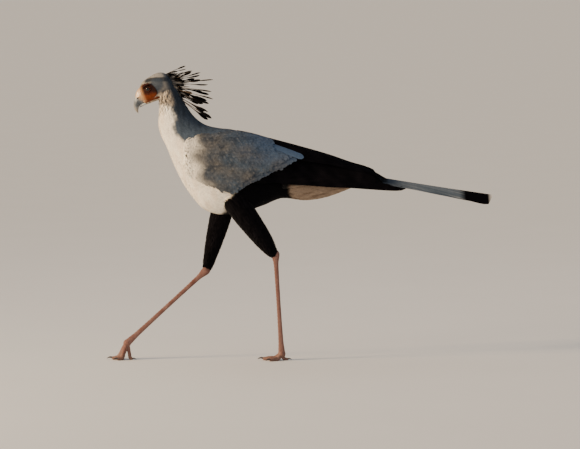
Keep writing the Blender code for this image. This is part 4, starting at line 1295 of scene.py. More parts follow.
LASHES = 15
PUPIL_OUT = 4.7  # half width of the pupil, and of the iris round it
IRIS_OUT = 6.7


def eyelid(side, tag):
    """A fleshy rim round the eye: two lids that meet at the corners."""
    turn = np.linspace(0, 2 * PI, 72, endpoint=False)
    forward = EYE[0] + np.cos(turn) * LID_RADIUS * 1.02
    up = EYE[1] + np.sin(turn) * LID_RADIUS * LID_FLAT - 0.4 * np.cos(2 * turn)
    middle = on_head(forward, up, side * (cheek(forward, up) + 0.1))
    away = np.cos(turn)[:, None] * HEAD_FORWARD + np.sin(turn)[:, None] * HEAD_UP
    ring = np.linspace(0, 2 * PI, 14, endpoint=False)
    wire = 1.5 + 0.35 * np.clip(np.sin(turn), 0, 1)
    rings = (
        middle[:, None]
        + away[:, None] * (wire[:, None] * np.cos(ring))[..., None]
        + side * SIDEWAYS * (wire[:, None] * 1.25 * np.sin(ring))[..., None]
    )
    quads = grid_quads(*rings.shape[:2], closed=True)
    if side > 0:
        quads = quads[:, ::-1]
    points = rings.reshape(-1, 3)
    tint = mixed(FACE_DARK, LID_RED, 0.5 + 0.5 * noise(points, 5, 2))
    return mesh_object(f"eyelid_{tag}", points, quads, tint=tint)


def eyeball(side, tag):
    """The eye, its iris and pupil facing out through the lids."""
    centre = on_head(EYE[0], EYE[1], side * (EYE[2] - 0.7))
    look = unit(side * SIDEWAYS + HEAD_FORWARD * 0.26)
    up = unit(HEAD_UP - look * (HEAD_UP @ look))
    out = np.cross(look, up)
    angle = np.concatenate([np.linspace(0.02, 1.2, 46), np.linspace(1.25, PI - 0.02, 20)])
    turn = np.linspace(0, 2 * PI, 64, endpoint=False)
    radius = EYE_RADIUS + 0.7 * np.exp(-((angle / 0.5) ** 2))
    rings = (
        centre
        + look * (radius * np.cos(angle))[:, None, None]
        + up * (radius[:, None] * np.sin(angle)[:, None] * np.cos(turn))[..., None]
        + out * (radius[:, None] * np.sin(angle)[:, None] * np.sin(turn))[..., None]
    )

    def eye_colour(points):
        """Pupil, rayed iris and dark edge, by the angle off the way it looks."""
        off = unit(points - centre)
        apart = np.arccos(np.clip(off @ look, -1, 1)) * EYE_RADIUS
        turned = np.arctan2(off @ up, off @ out)
        rays = 0.5 + 0.5 * np.sin(turned * 46 + 3 * np.sin(turned * 7))
        iris = mixed(IRIS, IRIS_RAYS, rays * 0.7)
        iris = mixed(iris, IRIS_RIM, step_up(IRIS_OUT - 1.1, IRIS_OUT - 0.3, apart))
        iris = mixed(iris, PUPIL, step_up(PUPIL_OUT + 0.2, PUPIL_OUT - 0.2, apart))
        return mixed(iris, EYE_EDGE, step_up(IRIS_OUT - 0.3, IRIS_OUT + 0.3, apart))

    return tube_object(f"eyeball_{tag}", rings, eye_colour)


def lashes(side, tag):
    """Short black bristles along the upper lid."""
    draw = np.random.default_rng(31)
    points, quads, tris, base = [], [], [], 0
    for turn in np.radians(np.linspace(25, 155, LASHES)):
        forward = EYE[0] + math.cos(turn) * (LID_RADIUS + 0.6)
        up = EYE[1] + math.sin(turn) * (LID_RADIUS * LID_FLAT + 0.8)
        root = on_head(forward, up, side * (cheek(forward, up) + 0.6))
        out = unit(side * SIDEWAYS + HEAD_UP * 0.25 + HEAD_FORWARD * (0.15 + 0.5 * math.cos(turn)))
        length = draw.uniform(7.0, 10.0)
        path = [root + out * length * share + HEAD_UP * (1.6 * share * share) for share in np.linspace(0, 1, 6)]
        bristle = grid_solid(swept(path, np.linspace(0.5, 0.08, 6), 6))
        points.append(bristle[0])
        quads.append(bristle[1] + base)
        tris.append(bristle[2] + base)
        base += len(bristle[0])
    points, quads, tris = (np.concatenate(a) for a in (points, quads, tris))
    black = np.tile(LASH_BLACK, (len(points), 1))
    return mesh_object(f"lashes_{tag}", points, quads, tris, black, np.zeros((len(points), 3)))


for side, tag in SIDES:
    dress(eyelid(side, tag), "skin")
    dress(eyeball(side, tag), "eye", f"eye_{tag}", slot="eye_brown")
    dress(lashes(side, tag), "crest")


# Bill


def bill_rings(stations, rows, sides, ridge):
    """One half of the bill. ridge is how far its top narrows to a ridge."""
    top_forward, top_up, low_forward, low_up, half = fine(stations, rows).T
    top, low = on_head(top_forward, top_up), on_head(low_forward, low_up)
    turn = np.linspace(0, 2 * PI, sides, endpoint=False)
    narrow = 1.0 - ridge * np.clip(np.cos(turn), 0, 1) ** 1.5
    hollow = 1.0 - 0.08 * np.exp(-(((turn % PI) - PI / 2 - 0.7) ** 2) / 0.05)
    return (
        ((top + low) / 2)[:, None]
        + ((top - low) / 2)[:, None] * np.cos(turn)[None, :, None]
        + SIDEWAYS * (half[:, None] * (np.sin(turn) * narrow * hollow))[..., None]
    )


def bill_colour(points):
    """Tan cere at the base and grey horn, with painted shade low on the side, painted highlights on the front
    of the ridge and on the tip, and painted shade in the nostril.
    """
    forward, up = head_places(points)
    down = forward * 0.45 - up
    past_cere = down + noise(points, 8, 4) * 1.2 + (forward - 52) * 0.9
    # Painted shade low on the side toward the hook.
    side_shade = step_up(17, 4, np.hypot(forward - 66, up + 28))
    horn = mixed(HORN, HORN_SHADE, side_shade * 0.9)
    colour = mixed(CERE, horn, step_up(36, 56, past_cere))
    # Painted highlight on the front curve of the ridge.
    colour = mixed(colour, HORN_RIDGE_HIGHLIGHT, step_up(68, 78, forward + up * 0.2) * 0.75)
    # Painted highlight on the tip of the hook.
    colour = mixed(colour, HORN_TIP_HIGHLIGHT, step_up(64, 78, down) * 0.8)
    # Painted shade in the nostril's hollow.
    hole = np.hypot((forward - NOSTRIL[0]) * 0.8, (up - NOSTRIL[1]) * 1.6)
    return mixed(colour, NOSTRIL_SHADE, step_up(4.4, 3.0, hole) * 0.9)


def lower_colour(points):
    """The lower bill: grey horn, darker to its tip."""
    return mixed(JAW_HORN, JAW_TIP, step_up(50, 62, head_places(points)[0]))


def pressed_nostrils(obj):
    """Presses a slanting nostril with a low rim into each side."""
    points = points_of(obj.data)
    forward, up = head_places(points)
    hole = np.hypot((forward - NOSTRIL[0] + (up - NOSTRIL[1]) * 0.4) * 0.8, (up - NOSTRIL[1]) * 1.5)
    deep = step_up(3.4, 1.4, hole) * 2.6
    rim = np.exp(-(((hole - 4.2) / 1.1) ** 2)) * 0.5
    points[:, 1] -= np.sign(points[:, 1]) * (deep - rim)
    set_points(obj.data, points)
    return obj


upper_bill = pressed_nostrils(tube_object("upper_bill", bill_rings(UPPER_BILL, 90, 72, 0.45)))
dress(painted(upper_bill, bill_colour), "horn", "bill_upper", slot="horn_grey")
lower_bill = tube_object("lower_bill", bill_rings(LOWER_BILL, 40, 40, 0.0), lower_colour)
dress(lower_bill, "horn", "bill_lower", slot="horn_grey")


# Coat of head, neck, body and thighs
# Each ground is a surface, the small steps for its slopes, its chart, and its ranges for the map.

ROUND = (0, 2 * PI)
BODY_GROUND = (body_surface, (0.01, 0.01), "body", ((0, BODY_END), ROUND))
HEAD_GROUND = (head_surface, (0.2, 0.01), "head", ((-47, 50), ROUND))
THROAT_TO = 1.5  # the body station where the loose throat feathers end
HEAD_LOW = 735  # the head's coat ends at this height


def body_keep(points, turn):
    """Leaves out what the wings hide."""
    x, y, z = points.T
    hidden_by = -wing_surface(x, down_at(x, z))[:, 1]
    top, bottom, _, inner = smooth(WING_ROWS, x).T
    under = (x > -366) & (z < top - 6) & (z > bottom + 26)
    under &= (np.abs(y) < hidden_by - 2) & (np.abs(y) > inner + 6)
    roofed = (x > -150) & (z > 515)
    return ~(under | roofed)


def body_size(s):
    """Length and width of the feathers along the body."""
    length = np.interp(s, [0, 1, 4, 7, 12, 18], [18, 18, 22, 27, 32, 34])
    return length, length * np.interp(s, [0, 7, 12], [0.24, 0.25, 0.27])


def body_gaps(s):
    """Gaps from row to row and along a row, from the feathers' size."""
    length, width = body_size(s)
    return length * 0.115, width * 0.42


u, v = rows_on(BODY_GROUND, (0.1, BODY_END - 0.5), ROUND, body_gaps, 11, body_keep, wrap=True)
toward_back = 0.25 * np.sin(2 * v) * np.interp(u, [0, 4, 8], [0.2, 0.5, 0.2])
shaggy = np.interp(u, [0, 1.0, 2, 3, 8, 12], [2.4, 1.6, 0.4, 0.12, 0.12, 0.3])
body_coat = small_feathers(
    "coat_body",
    BODY_GROUND,
    (u, v),
    *body_size(u),
    BODY_COAT,
    toward_back,
    marking,
    12,
    lift=0.6,
    ruffle=shaggy,
)
dress_all(body_coat, "coat")


def throat_keep(points, turn):
    """Only the front and sides of the neck's top."""
    return points[:, 0] < -402 - 0.5 * (points[:, 2] - 740)


# Looser, longer feathers hang under the jaw.
u, v = rows_on(BODY_GROUND, (0.1, THROAT_TO), ROUND, (6.0, 5.0), 63, throat_keep, wrap=True)
throat_coat = small_feathers(
    "coat_throat",
    BODY_GROUND,
    (u, v),
    np.interp(u, [0, THROAT_TO], [31, 20]),
    4.0,
    4.0,
    0.12 * np.sin(2 * v),
    marking,
    64,
    lift=-1.2,
    ruffle=np.interp(u, [0, THROAT_TO], [5.5, 2.2]),
    spread=0.24,
    vary=0.14,
)
dress_all(throat_coat, "coat")


def head_keep(points, turn):
    """Thins the coat out at the edge of the bare face."""
    draw = np.random.default_rng(5)
    return (draw.uniform(0, 1, len(points)) > bare_face(points) * 1.6) & (points[:, 2] > HEAD_LOW)


u, v = rows_on(HEAD_GROUND, (-46, 49), ROUND, (1.6, 1.4), 21, head_keep, wrap=True)
# The feathers are shortest next to the bill.
length = 4.0 + 7.5 * step_up(46, 6, head_places(head_surface(u, v))[0])
head_coat = small_feathers(
    "coat_head",
    HEAD_GROUND,
    (u, v),
    length,
    length * 0.26,
    1.8,
    0.0,
    marking,
    22,
    lift=0.15,
    ruffle=0.06,
)
dress_all(head_coat, "coat")


def thigh_colour(points):
    """Soft black, here and there deeper."""
    return mixed(SOFT_BLACK, BLACK, 0.5 + 0.4 * noise(points, 14, 7))


for line, (side, tag) in zip((NEAR_THIGH, FAR_THIGH), SIDES):
    ground = (thigh_surface(line, side), (0.004, 0.02), f"thigh_{tag}", ((0, 1), ROUND))
    u, v = rows_on(ground, (0.02, 0.95), ROUND, (3.2, 2.6), 41 + side, wrap=True)
    length = np.interp(u, [0, 0.5, 0.85, 1], [27, 22, 16, 9])
    thigh_coat = small_feathers(
        f"coat_thigh_{tag}",
        ground,
        (u, v),
        length,
        length * 0.24,
        np.interp(u, [0, 0.8, 1], [THIGH_COAT, THIGH_COAT, 2.0]),
        0.0,
        thigh_colour,
        43 + side,
        lift=0.4,
        ruffle=np.interp(u, [0, 0.6, 1], [0.5, 0.8, 1.2]),
        vary=0.15,
    )
    dress_all(thigh_coat, "coat")


# Wings

WING_GROUND = (wing_surface, (1.0, 0.004), "wing", ((WING[0, 0], WING[-1, 0]), (0, 1)))
WING_OUT = np.array([0.0, -1.0, 0.25])
# Two rows of great coverts: how far back from the line they root, length, half width, number,
# how deep the tips lie, and how far along the first one is.
GREAT_COVERTS = ((50, 53, 11.0, 26, 1.6, 0.1), (74, 60, 11.0, 22, 1.0, 0.6))
# Shoulder feathers: x of root and tip, how far down the wing, half width.
SHOULDER_FEATHERS = (
    (-212, -131, 0.27, 13),
    (-208, -127, 0.21, 13),
    (-214, -129, 0.15, 14),
    (-208, -126, 0.09, 13),
    (-206, -129, 0.04, 12),
    (-236, -152, 0.12, 13),
)
# Tertials: x of root and tip, how far down the wing both lie, half width.
TERTIALS = (
    (-126, 24, 0.035, 0.03, 17),
    (-118, 60, 0.11, 0.09, 22),
    (-116, 88, 0.16, 0.11, 23),
    (-114, 112, 0.22, 0.12, 24),
    (-112, 134, 0.27, 0.13, 24),
    (-110, 157, 0.32, 0.14, 24),
    (-108, 178, 0.36, 0.15, 24),
    (-106, 200, 0.40, 0.155, 23),
    (-104, 219, 0.44, 0.16, 22),
)
# Flight feathers on the wing's side: x and z of root and tip, half width.
SIDE_FEATHERS = (
    (-127, 580, 160, 549, 20),
    (-140, 575, 168, 543, 20),
    (-153, 570, 176, 538, 20),
    (-167, 565, 180, 533, 19),
    (-181, 560, 182, 528, 18),
    (-194, 556, 181, 524, 17),
    (-207, 552, 180, 520, 16),
    (-218, 549, 184, 517, 15),
    (-228, 547, 190, 514, 14),
    (-236, 545, 206, 511, 13),
    (-240, 544, 224, 508, 12),
    (-242, 543, 244, 505, 11),
    (-240, 542, 268, 502, 10),
)
FEATHER_STEP = 0.66  # how much deeper each flight feather lies than the one over it


def covert_distance(x, z):
    """How far a place on the wing's side is above the line where the grey coverts end."""
    start, end = np.array(COVERT_LINE, float)
    run = unit(end - start)
    return (z - start[1]) * run[0] - (x - start[0]) * run[1]


def covert_keep(points, down):
    """Keeps the small coverts clear of the great ones, the long one and the wing's edges."""
    x, _, z = points.T
    clear = covert_distance(x, z) > np.interp(x, *COVERT_CLEAR)
    over_long = (x > -136) & (z > line_height(LONG_COVERT, x) - 10)
    return clear & (x < COVERT_LINE[1][0] + 2) & (down < 0.985) & ~over_long


def mirrored(obj, name):
    """The same piece on the bird's other side."""
    mesh = obj.data.copy()
    set_points(mesh, points_of(mesh) * (1, -1, 1))
    mesh.flip_normals()
    return linked(bpy.data.objects.new(name, mesh))


u, v = rows_on(WING_GROUND, (-379, COVERT_LINE[1][0]), (0.0, 0.99), (4.2, 3.6), 51, covert_keep)
points = wing_surface(u, v)
above_line = covert_distance(points[:, 0], points[:, 2])
length = np.interp(above_line, [0, 40, 120], [36, 29, 21]) * np.interp(u, [-380, -330, -250], [0.7, 0.9, 1.0])
coverts = small_feathers(
    "coat_wing_left",
    WING_GROUND,
    (u, v),
    length,
    length * 0.34,
    WING_COAT - 1,
    COVERT_FALL * np.interp(v, [0, 0.25, 0.6, 1], [0.25, 0.75, 1.0, 0.8]),
    wing_marking,
    52,
    lift=0.4,
    ruffle=0.12,
    spread=0.07,
    fray=0.08,
    vary=0.09,
    outline=ROUND_TIP,
    outward=WING_OUT,
)
dress_all(coverts, "coat")
dress_all([mirrored(obj, f"coat_wing_right_{i + 1}") for i, obj in enumerate(coverts)], "coat")


def on_wing(place):
    """A place in x and z as the wing surface's own two numbers."""
    return place[0], float(down_at(float(place[0]), float(place[1])))


def long_feather_sets():
    """Great coverts, shoulder feathers, the long covert, and the flight feathers of the left wing."""
    draw = np.random.default_rng(61)
    great, shoulder, black = [], [], []
    first, last = np.array(COVERT_LINE, float)
    ahead = np.array([math.cos(COVERT_FALL), -math.sin(COVERT_FALL)])
    for back, length, half, count, lies, shift in GREAT_COVERTS:
        for i in range(count):
            root = first + (last - first) * ((i + shift) / count) - ahead * back
            tip = root + ahead * (length + draw.uniform(-3, 2))

            def deep(t, tip_lies=lies):
                """How far out the feather lies, from its root to its tip."""
                return WING_COAT - (6.1 - tip_lies) * t

            great.append(big_feather(wing_surface, on_wing(root), on_wing(tip), half, deep, draw, 7, 0.62))
    for start_x, tip_x, down, half in SHOULDER_FEATHERS:
        start, tip = (start_x, down), (tip_x, down * 0.95)
        shoulder.append(big_feather(wing_surface, start, tip, half, lambda t: 5.0 - 4.9 * t, draw, 7, 0.7))
    start, tip = (on_wing(place) for place in LONG_COVERT)
    long_one = big_feather(wing_surface, start, tip, 12, lambda t: 3.0 - 3.2 * t, draw, 9, 0.86)
    for i, (root_x, tip_x, root_down, tip_down, half) in enumerate(TERTIALS):
        start, tip = (root_x, root_down), (tip_x, tip_down)
        black.append(big_feather(wing_surface, start, tip, half, 0.4 + 0.6 * i, draw, 9, 0.88))
    for i, (root_x, root_z, tip_x, tip_z, half) in enumerate(SIDE_FEATHERS):
        start, tip = (root_x, root_z), (tip_x, tip_z)
        black.append(big_feather(side_surface, start, tip, half, FEATHER_STEP * i, draw, 9, 0.9))
    return great, shoulder, [long_one], black


def grey_colour(points, t, side, index):
    """The grey coverts' pattern; the long covert, alone in its set, is bluer. Each feather is painted darker
    toward its root, as shade under the feathers over it.
    """
    base = wing_marking(points.reshape(-1, 3)).reshape(points.shape)
    base = mixed(base, RIBBON_BLUE, 0.8 if index.max() == 0 else 0.12)
    # Painted shade: darker at the root, and a little lighter toward the tip at the edges.
    shade = 0.88 + 0.14 * t + 0.06 * (np.abs(side) > 0.7) * t
    return base * shade[..., None]


def black_colour(points, t, side, index):
    """Black flight feathers with slightly lighter edges."""
    soft = 0.4 + 0.4 * noise(points.reshape(-1, 3), 30, 15).reshape(side.shape)
    return mixed(BLACK, SOFT_BLACK, soft) * (1 + 0.35 * (np.abs(side) > 0.85))[..., None]


great_set, shoulder_set, long_set, black_set = long_feather_sets()
for title, made, part in (
    ("coverts", great_set, "coverts"),
    ("scapulars", shoulder_set, "scapulars"),
    ("long_covert", long_set, "long"),
):
    grey = big_feathers_object(f"{title}_left", made, grey_colour, part)
    dress_all([grey, mirrored(grey, f"{title}_right")], "coat")
flight = big_feathers_object("flight_left", black_set, black_colour, "flight")
dress(flight, "flight", "wing_left", slot="black_feather")
dress(mirrored(flight, "flight_right"), "flight", "wing_right", slot="black_feather")


# Tail

TAIL_PITCH = math.radians(24)  # how steeply the feathers slope down to each side
TAIL_TWIST = math.radians(12)  # more of it at the long feathers' tips
SHORT_PAIRS = 5


def ridge_z(x):
    """Height of the ridge that the two long feathers make."""
    x0, z0, slope = TAIL_RIDGE
    return z0 + slope * (x - x0)


def tail_feather(side, start_x, tip_x, half, drop, inner, draw, long=False):
    """One tail feather on its own side of the ridge: its inner edge near the middle, sloping out."""
    t = BIG_ROWS[:, None]
    across = np.linspace(-1, 1, 9)[None, :]
    if long:
        width = half * np.interp(t, [0, 0.3, 0.55, 0.8, 0.93, 1], [0.5, 0.75, 0.8, 0.92, 1.0, 1.0])
        tilt, sag = TAIL_PITCH + TAIL_TWIST * t**2, -2.4 * np.sin(PI * t)
        tip, arch = 0.955, 0.7
    else:
        width = half * (0.5 + 0.5 * np.clip(t / 0.4, 0, 1))
        tilt, sag = TAIL_PITCH + 0 * t, 0 * t
        tip, arch = 0.9, 0.4
    past = np.clip((t - tip) / (1 - tip), 0, 1)
    width = width * np.sqrt(np.maximum(1 - past**2 * 0.97, 0)) * ragged(t, across, draw, 0.03)
    out = width * (across + 1) - inner
    x = start_x + (tip_x - start_x) * t + 0 * across
    y = side * np.cos(tilt) * out
    z = ridge_z(x) + sag - drop - np.sin(tilt) * out
    normal = np.stack([0 * x, side * np.sin(tilt) + 0 * x, np.cos(tilt) + 0 * x], -1)
    edge = 1 - across**2
    base = np.stack([x, y, z], -1) + normal * (edge * arch)[..., None]
    bump = np.exp(-((across * width / 1.3) ** 2)) * 0.6 * (1 - 0.6 * t)
    web = np.stack(np.broadcast_arrays(width * across, x - start_x, draw.uniform()), -1)
    return base, normal, 0.22 * edge + bump, 0.22 * edge + bump * 0.6, web, t + 0 * x, across + 0 * x


def tail_sets():
    """The two long middle feathers, then the short ones in pairs under them."""
    draw = np.random.default_rng(71)
    made = [
        tail_feather(-1, 30, TAIL_TIP_X, 25, 0.0, 2.2, draw, True),
        tail_feather(1, 30, TAIL_TIP_X - 9, 25, 1.8, 2.2, draw, True),
    ]
    for pair in range(SHORT_PAIRS):
        tip, half = 214 - 12 * pair, 15 - 0.5 * pair
        made += [tail_feather(side, 40, tip, half, 1.4 + 1.3 * (pair + 1), -1.0, draw) for side, _ in SIDES]
    return made


def tail_colour(points, t, side, index):
    """Grey feathers with a black band and a pale tip, the short ones darker."""
    x = points[..., 0]
    mottled = noise(points.reshape(-1, 3), 16, 17).reshape(x.shape)
    wave = mottled * 3.5
    grey = mixed(TAIL_GREY, TAIL_LIGHT, np.clip(0.35 + 0.4 * mottled, 0, 1))
    grey = mixed(grey, SLATE, step_up(330, 215, x) * 0.85)
    band = step_up(426, 431, x + wave) * step_up(514, 508, x + wave * 0.6)
    long = mixed(grey, BLACK, band)
    long = mixed(long, TAIL_WHITE, step_up(508, 514, x + wave * 0.6))
    near = step_up(419, 426, x + wave) * step_up(431, 426, x + wave)
    long = mixed(long, TAIL_EDGE, near * 0.5)
    back = x.max(axis=(1, 2), keepdims=True) - x + wave
    short = mixed(grey * 0.8, BLACK, step_up(64, 56, back) * step_up(8, 14, back))
    short = mixed(short, SHORT_TIP, step_up(14, 8, back))
    return np.where((index < 2)[..., None], long, short)


tail_piece = big_feathers_object("tail_feathers", tail_sets(), tail_colour, "tail")
dress(tail_piece, "flight", "tail", slot="grey_feather")


# Crest

# Each row of long crest feathers: x and z of its roots, pitch in degrees, length, half width of the
# club, and how far the feather curls.
CREST = (
    (-431, 829, 19, 72, 3.2, -4),
    (-426, 822, 12, 84, 4.6, 3),
    (-420, 815, 10, 102, 5.6, 9),
    (-417, 808, 0, 134, 6.0, 6),
    (-414, 801, -11, 128, 4.4, 2),
    (-408, 792, -17, 130, 5.4, 1),
    (-402, 782, -21, 112, 6.6, 3),
    (-397, 776, -23, 84, 4.6, 3),
    (-391, 769, -29, 106, 6.8, 3),
    (-386, 763, -33, 118, 7.0, 8),
)
LOOSE_RANKS = 7  # the lowest rows stand alone, so their clubs show
LANCES = 110
CREST_SPREAD = (3.5, 13.0)  # turn out from the middle, in degrees, of the first and last row
CREST_ROWS = np.concatenate([np.linspace(0, 0.6, 9), np.linspace(0.65, 1.0, 12)])
# A web's half width at places along the feather: long ones end in a club, short ones in a point.
WEB_PLACES = (0, 0.3, 0.55, 0.68, 0.8, 0.92, 0.98, 1)
CLUB = (0.22, 0.22, 0.25, 0.48, 0.98, 1.0, 0.6, 0.08)
LANCE = (0.5, 0.9, 1.0, 0.92, 0.75, 0.4, 0.16, 0.04)


def crest_feather(rank, side, draw, short=1.0, thin=1.0, stray=0.0, web_shape=CLUB):
    """A long feather: a narrow web on its shaft that widens to a club. rank may lie between rows."""
    root_x, root_z, pitch, length, club, curl = smooth(counted(CREST), float(rank))
    share = rank / (len(CREST) - 1)
    yaw = CREST_SPREAD[0] + (CREST_SPREAD[1] - CREST_SPREAD[0]) * share
    yaw = math.radians(yaw * draw.uniform(0.75, 1.3) + stray * draw.normal(0, 5)) * side
    pitch += (1.5 + draw.uniform(0, 3)) * (1 if side < 0 else -1)
    lift = math.radians(pitch + stray * draw.normal(0, 5))
    length *= (1.0 if side < 0 else draw.uniform(0.86, 0.97)) * short
    curl += stray * draw.normal(0, 5)
    ahead = unit(np.array([math.cos(lift) * math.cos(yaw), math.sin(yaw), math.sin(lift)]))
    flat = np.array([0.0, side, 0.0])
    roll = math.radians(draw.uniform(18, 50)) * side
    across = flat * math.cos(roll) + unit(np.cross(ahead, flat)) * math.sin(roll)
    across = unit(across - ahead * (across @ ahead))
    bend = np.array([0, 0, 1.0]) - ahead * ahead[2]
    root = np.array([root_x, side * 9.0 * (0.45 + 0.55 * share), root_z]) - ahead * 4
    t = CREST_ROWS[:, None]
    lateral = np.linspace(-1, 1, 7)[None, :]
    width = club * thin * np.interp(t, WEB_PLACES, web_shape) * ragged(t, lateral, draw, 0.07)
    middle = root + (ahead * length) * t[..., None] + bend * (curl * (t**2 - t))[..., None]
    normal = np.cross(ahead, across)
    swept_back = ahead * (-0.3 * np.abs(lateral) * width)[..., None]
    base = middle + (across * (width * lateral)[..., None]) + swept_back
    base = base - normal * (0.12 * width * lateral**2)[..., None]
    bump = np.exp(-((lateral * width / 0.9) ** 2)) * 0.6 * (1 - 0.55 * t)
    rise = 0.25 * (1 - lateral**2) + bump
    web = np.stack(np.broadcast_arrays(width * lateral, length * t, draw.uniform()), -1)
    return base, np.broadcast_to(normal, base.shape), rise, rise * 0.9, web, t + 0 * lateral, lateral + 0 * t


def crest_sets():
    """Pairs of long feathers, thinner ones between the upper rows, and short ones at the roots."""
    draw = np.random.default_rng(7)
    made = [crest_feather(rank, side, draw) for rank in range(len(CREST)) for side, _ in SIDES]
    extra = np.random.default_rng(19)
    for rank in range(LOOSE_RANKS):
        for side, _ in SIDES:
            short, thin = extra.uniform(0.5, 0.8), extra.uniform(0.75, 1.1)
            made.append(crest_feather(rank, side, extra, short, thin, 0.8))
    # Shorter lance-shaped feathers stand close together round the roots of the long ones.
    for _ in range(LANCES):
        rank, side = extra.uniform(0, LOOSE_RANKS), extra.choice((-1, 1))
        short, thin = extra.uniform(0.24, 0.5), extra.uniform(0.6, 1.0)
        made.append(crest_feather(rank, side, extra, short, thin, 1.3, LANCE))
    return made


def crest_colour(points, t, side, index):
    """Brown, grey or pale webs that turn black toward the tip, each feather in its own way."""
    draw = np.random.default_rng(91)
    brown = draw.uniform(0, 1, 400)[index]
    short = index >= 2 * (len(CREST) + LOOSE_RANKS)
    start = draw.uniform(0.45, 0.68, 400)[index] + 0.04 * short
    base = mixed(mixed(CREST_BROWN, CREST_PALE, np.abs(side) ** 2), SLATE, (brown > 0.5) * 0.6)
    base = mixed(base, mixed(BLUE_GREY, PALE_GREY, brown), short * 0.8)
    dark = step_up(-0.1, 0.1, t - start)
    colour = mixed(base, BLACK, dark)
    return mixed(colour, CREST_PALE, (np.abs(side) > 0.8) * dark * (brown < 0.4) * (0.4 - 0.3 * short))


crest_piece = big_feathers_object("crest_feathers", crest_sets(), crest_colour, "crest")
dress(crest_piece, "crest", "crest", slot="black_feather")


# Legs

UPRIGHT = np.array([0, 0, 1.0])
# A toe's joints: shares of its length, and its width there.
TOE_JOINTS = (0.0, 0.18, 0.36, 0.55, 0.78, 0.92, 1.0)
TOE_WIDTHS = np.array([1.0, 0.95, 0.86, 0.94, 0.78, 0.62, 0.62])
BALL = (12.6, 10.4, 11.2)  # half sizes of the ball of the foot: along the leg, across, ahead


def leg_line(ankle, joint, side):
    """The ends of a bare leg's middle line, its length, and the ways along and in front of it."""
    top = np.array([ankle[0], side * ANKLE_Y, ankle[1]], float)
    end = np.array([joint[0], side * FOOT_Y, joint[1]], float)
    ahead = unit(end - top)
    front = unit(np.cross(SIDEWAYS, ahead))
    return top, end, np.linalg.norm(end - top), ahead, front * -np.sign(front[0])


def shank_rings(ankle, joint, side):
    """The bare leg with a row of overlapping plates down its front."""
    top, _, length, ahead, front = leg_line(ankle, joint, side)
    across = np.cross(ahead, front)
    share = np.concatenate([np.linspace(-0.05, -0.005, 12), np.linspace(0.0, 1.0, 300)])
    knob = 1.0 + 0.65 * np.exp(-((share / 0.06) ** 2)) + 0.35 * np.exp(-(((1 - share) / 0.07) ** 2))
    knob = knob * np.sqrt(np.clip(1 - (np.minimum(share, 0) / 0.053) ** 2, 0, 1))
    taper = 1.0 - 0.18 * np.sin(PI * np.clip(share * 1.1, 0, 1))
    half = SHANK_HALF * knob * taper
    turn = np.linspace(-PI, PI, 56, endpoint=False)
    phase = (share * PLATES) % 1.0
    plate = (phase**0.8 - 0.5) * step_up(0.04, 0.09, share) * step_up(0.99, 0.95, share)
    dent = -0.5 * np.exp(-(((phase - 0.02) / 0.07) ** 2)) * step_up(0.04, 0.09, share)
    frontal = step_up(1.25, 0.75, np.abs(turn))
    seam = np.exp(-(((np.abs(turn) - 1.0) / 0.1) ** 2)) * 0.35
    rise = (plate * 1.2 + dent)[:, None] * frontal[None, :] - seam[None, :]
    flat = 1.0 - 0.1 * np.cos(2 * turn) ** 2
    reach = half[:, None] * flat[None, :] + rise
    middle = top + share[:, None] * ahead * (length - 4)
    return (
        middle[:, None]
        + front * (reach * np.cos(turn) * 1.12)[..., None]
        + across * (reach * np.sin(turn) * 0.86)[..., None]
    )


def toe_line(joint, turn, length, side, radius):
    """A toe's middle line from the joint down to the floor, and the way it points."""
    yaw = math.radians(180 + turn * side)
    ahead = np.array([math.cos(yaw), math.sin(yaw), 0.0])
    root = np.array([joint[0], side * FOOT_Y, joint[1]], float)
    drop = root[2] - (radius - TOE_FLAT)
    slope = min(1.0, drop / 34)
    line = []
    for share in TOE_JOINTS:
        reach = length * share * (1 - 0.28 * slope * min(1.0, share / 0.55))
        fall = drop * (1 - (1 - min(1.0, share / (0.25 + 0.4 * slope))) ** 1.5)
        line.append(root + ahead * reach - UPRIGHT * fall)
    return np.array(line), ahead


def upright_frame(path):
    """Ways across and on top of a path along the floor."""
    forward = unit(np.gradient(path, axis=0))
    across = unit(np.cross(forward, UPRIGHT), 1e-6)
    return across, np.cross(across, forward)


def toe_rings(joint, turn, length, side, radius):
    """A toe with plates on top and pads under its joints, pressed flat on the floor."""
    line, _ = toe_line(joint, turn, length, side, radius * 0.8)
    halves = radius * TOE_WIDTHS
    line[:, 2] = np.maximum(line[:, 2], halves * 0.85 - TOE_FLAT)
    path = fine(line, 90)
    half = fine(halves[:, None], 90)[:, 0]
    share = np.linspace(0, 1, 90)
    half = half * np.where(share > 0.93, np.sqrt(np.clip(1 - ((share - 0.93) / 0.075) ** 2, 0.12, 1)), 1)
    across, top = upright_frame(path)
    angle = np.linspace(-PI, PI, 40, endpoint=False)
    phase = (share * length / 4.2) % 1.0
    plate = (phase**0.8 - 0.5) * step_up(0.1, 0.25, share) * step_up(1.0, 0.94, share)
    upper = step_up(1.3, 0.8, np.abs(angle))
    pads = 0.7 * np.sin(share * length / 3.4) * step_up(0.2, 0.5, share)
    lower = step_up(1.9, 2.5, np.abs(angle))
    reach = half[:, None] + plate[:, None] * 0.7 * upper[None, :] + pads[:, None] * lower[None, :]
    rings = (
        path[:, None]
        + top[:, None] * (reach * np.cos(angle))[..., None]
        + across[:, None] * (reach * 0.92 * np.sin(angle))[..., None]
    )
    rings[..., 2] = np.maximum(rings[..., 2], 0.05)
    return rings


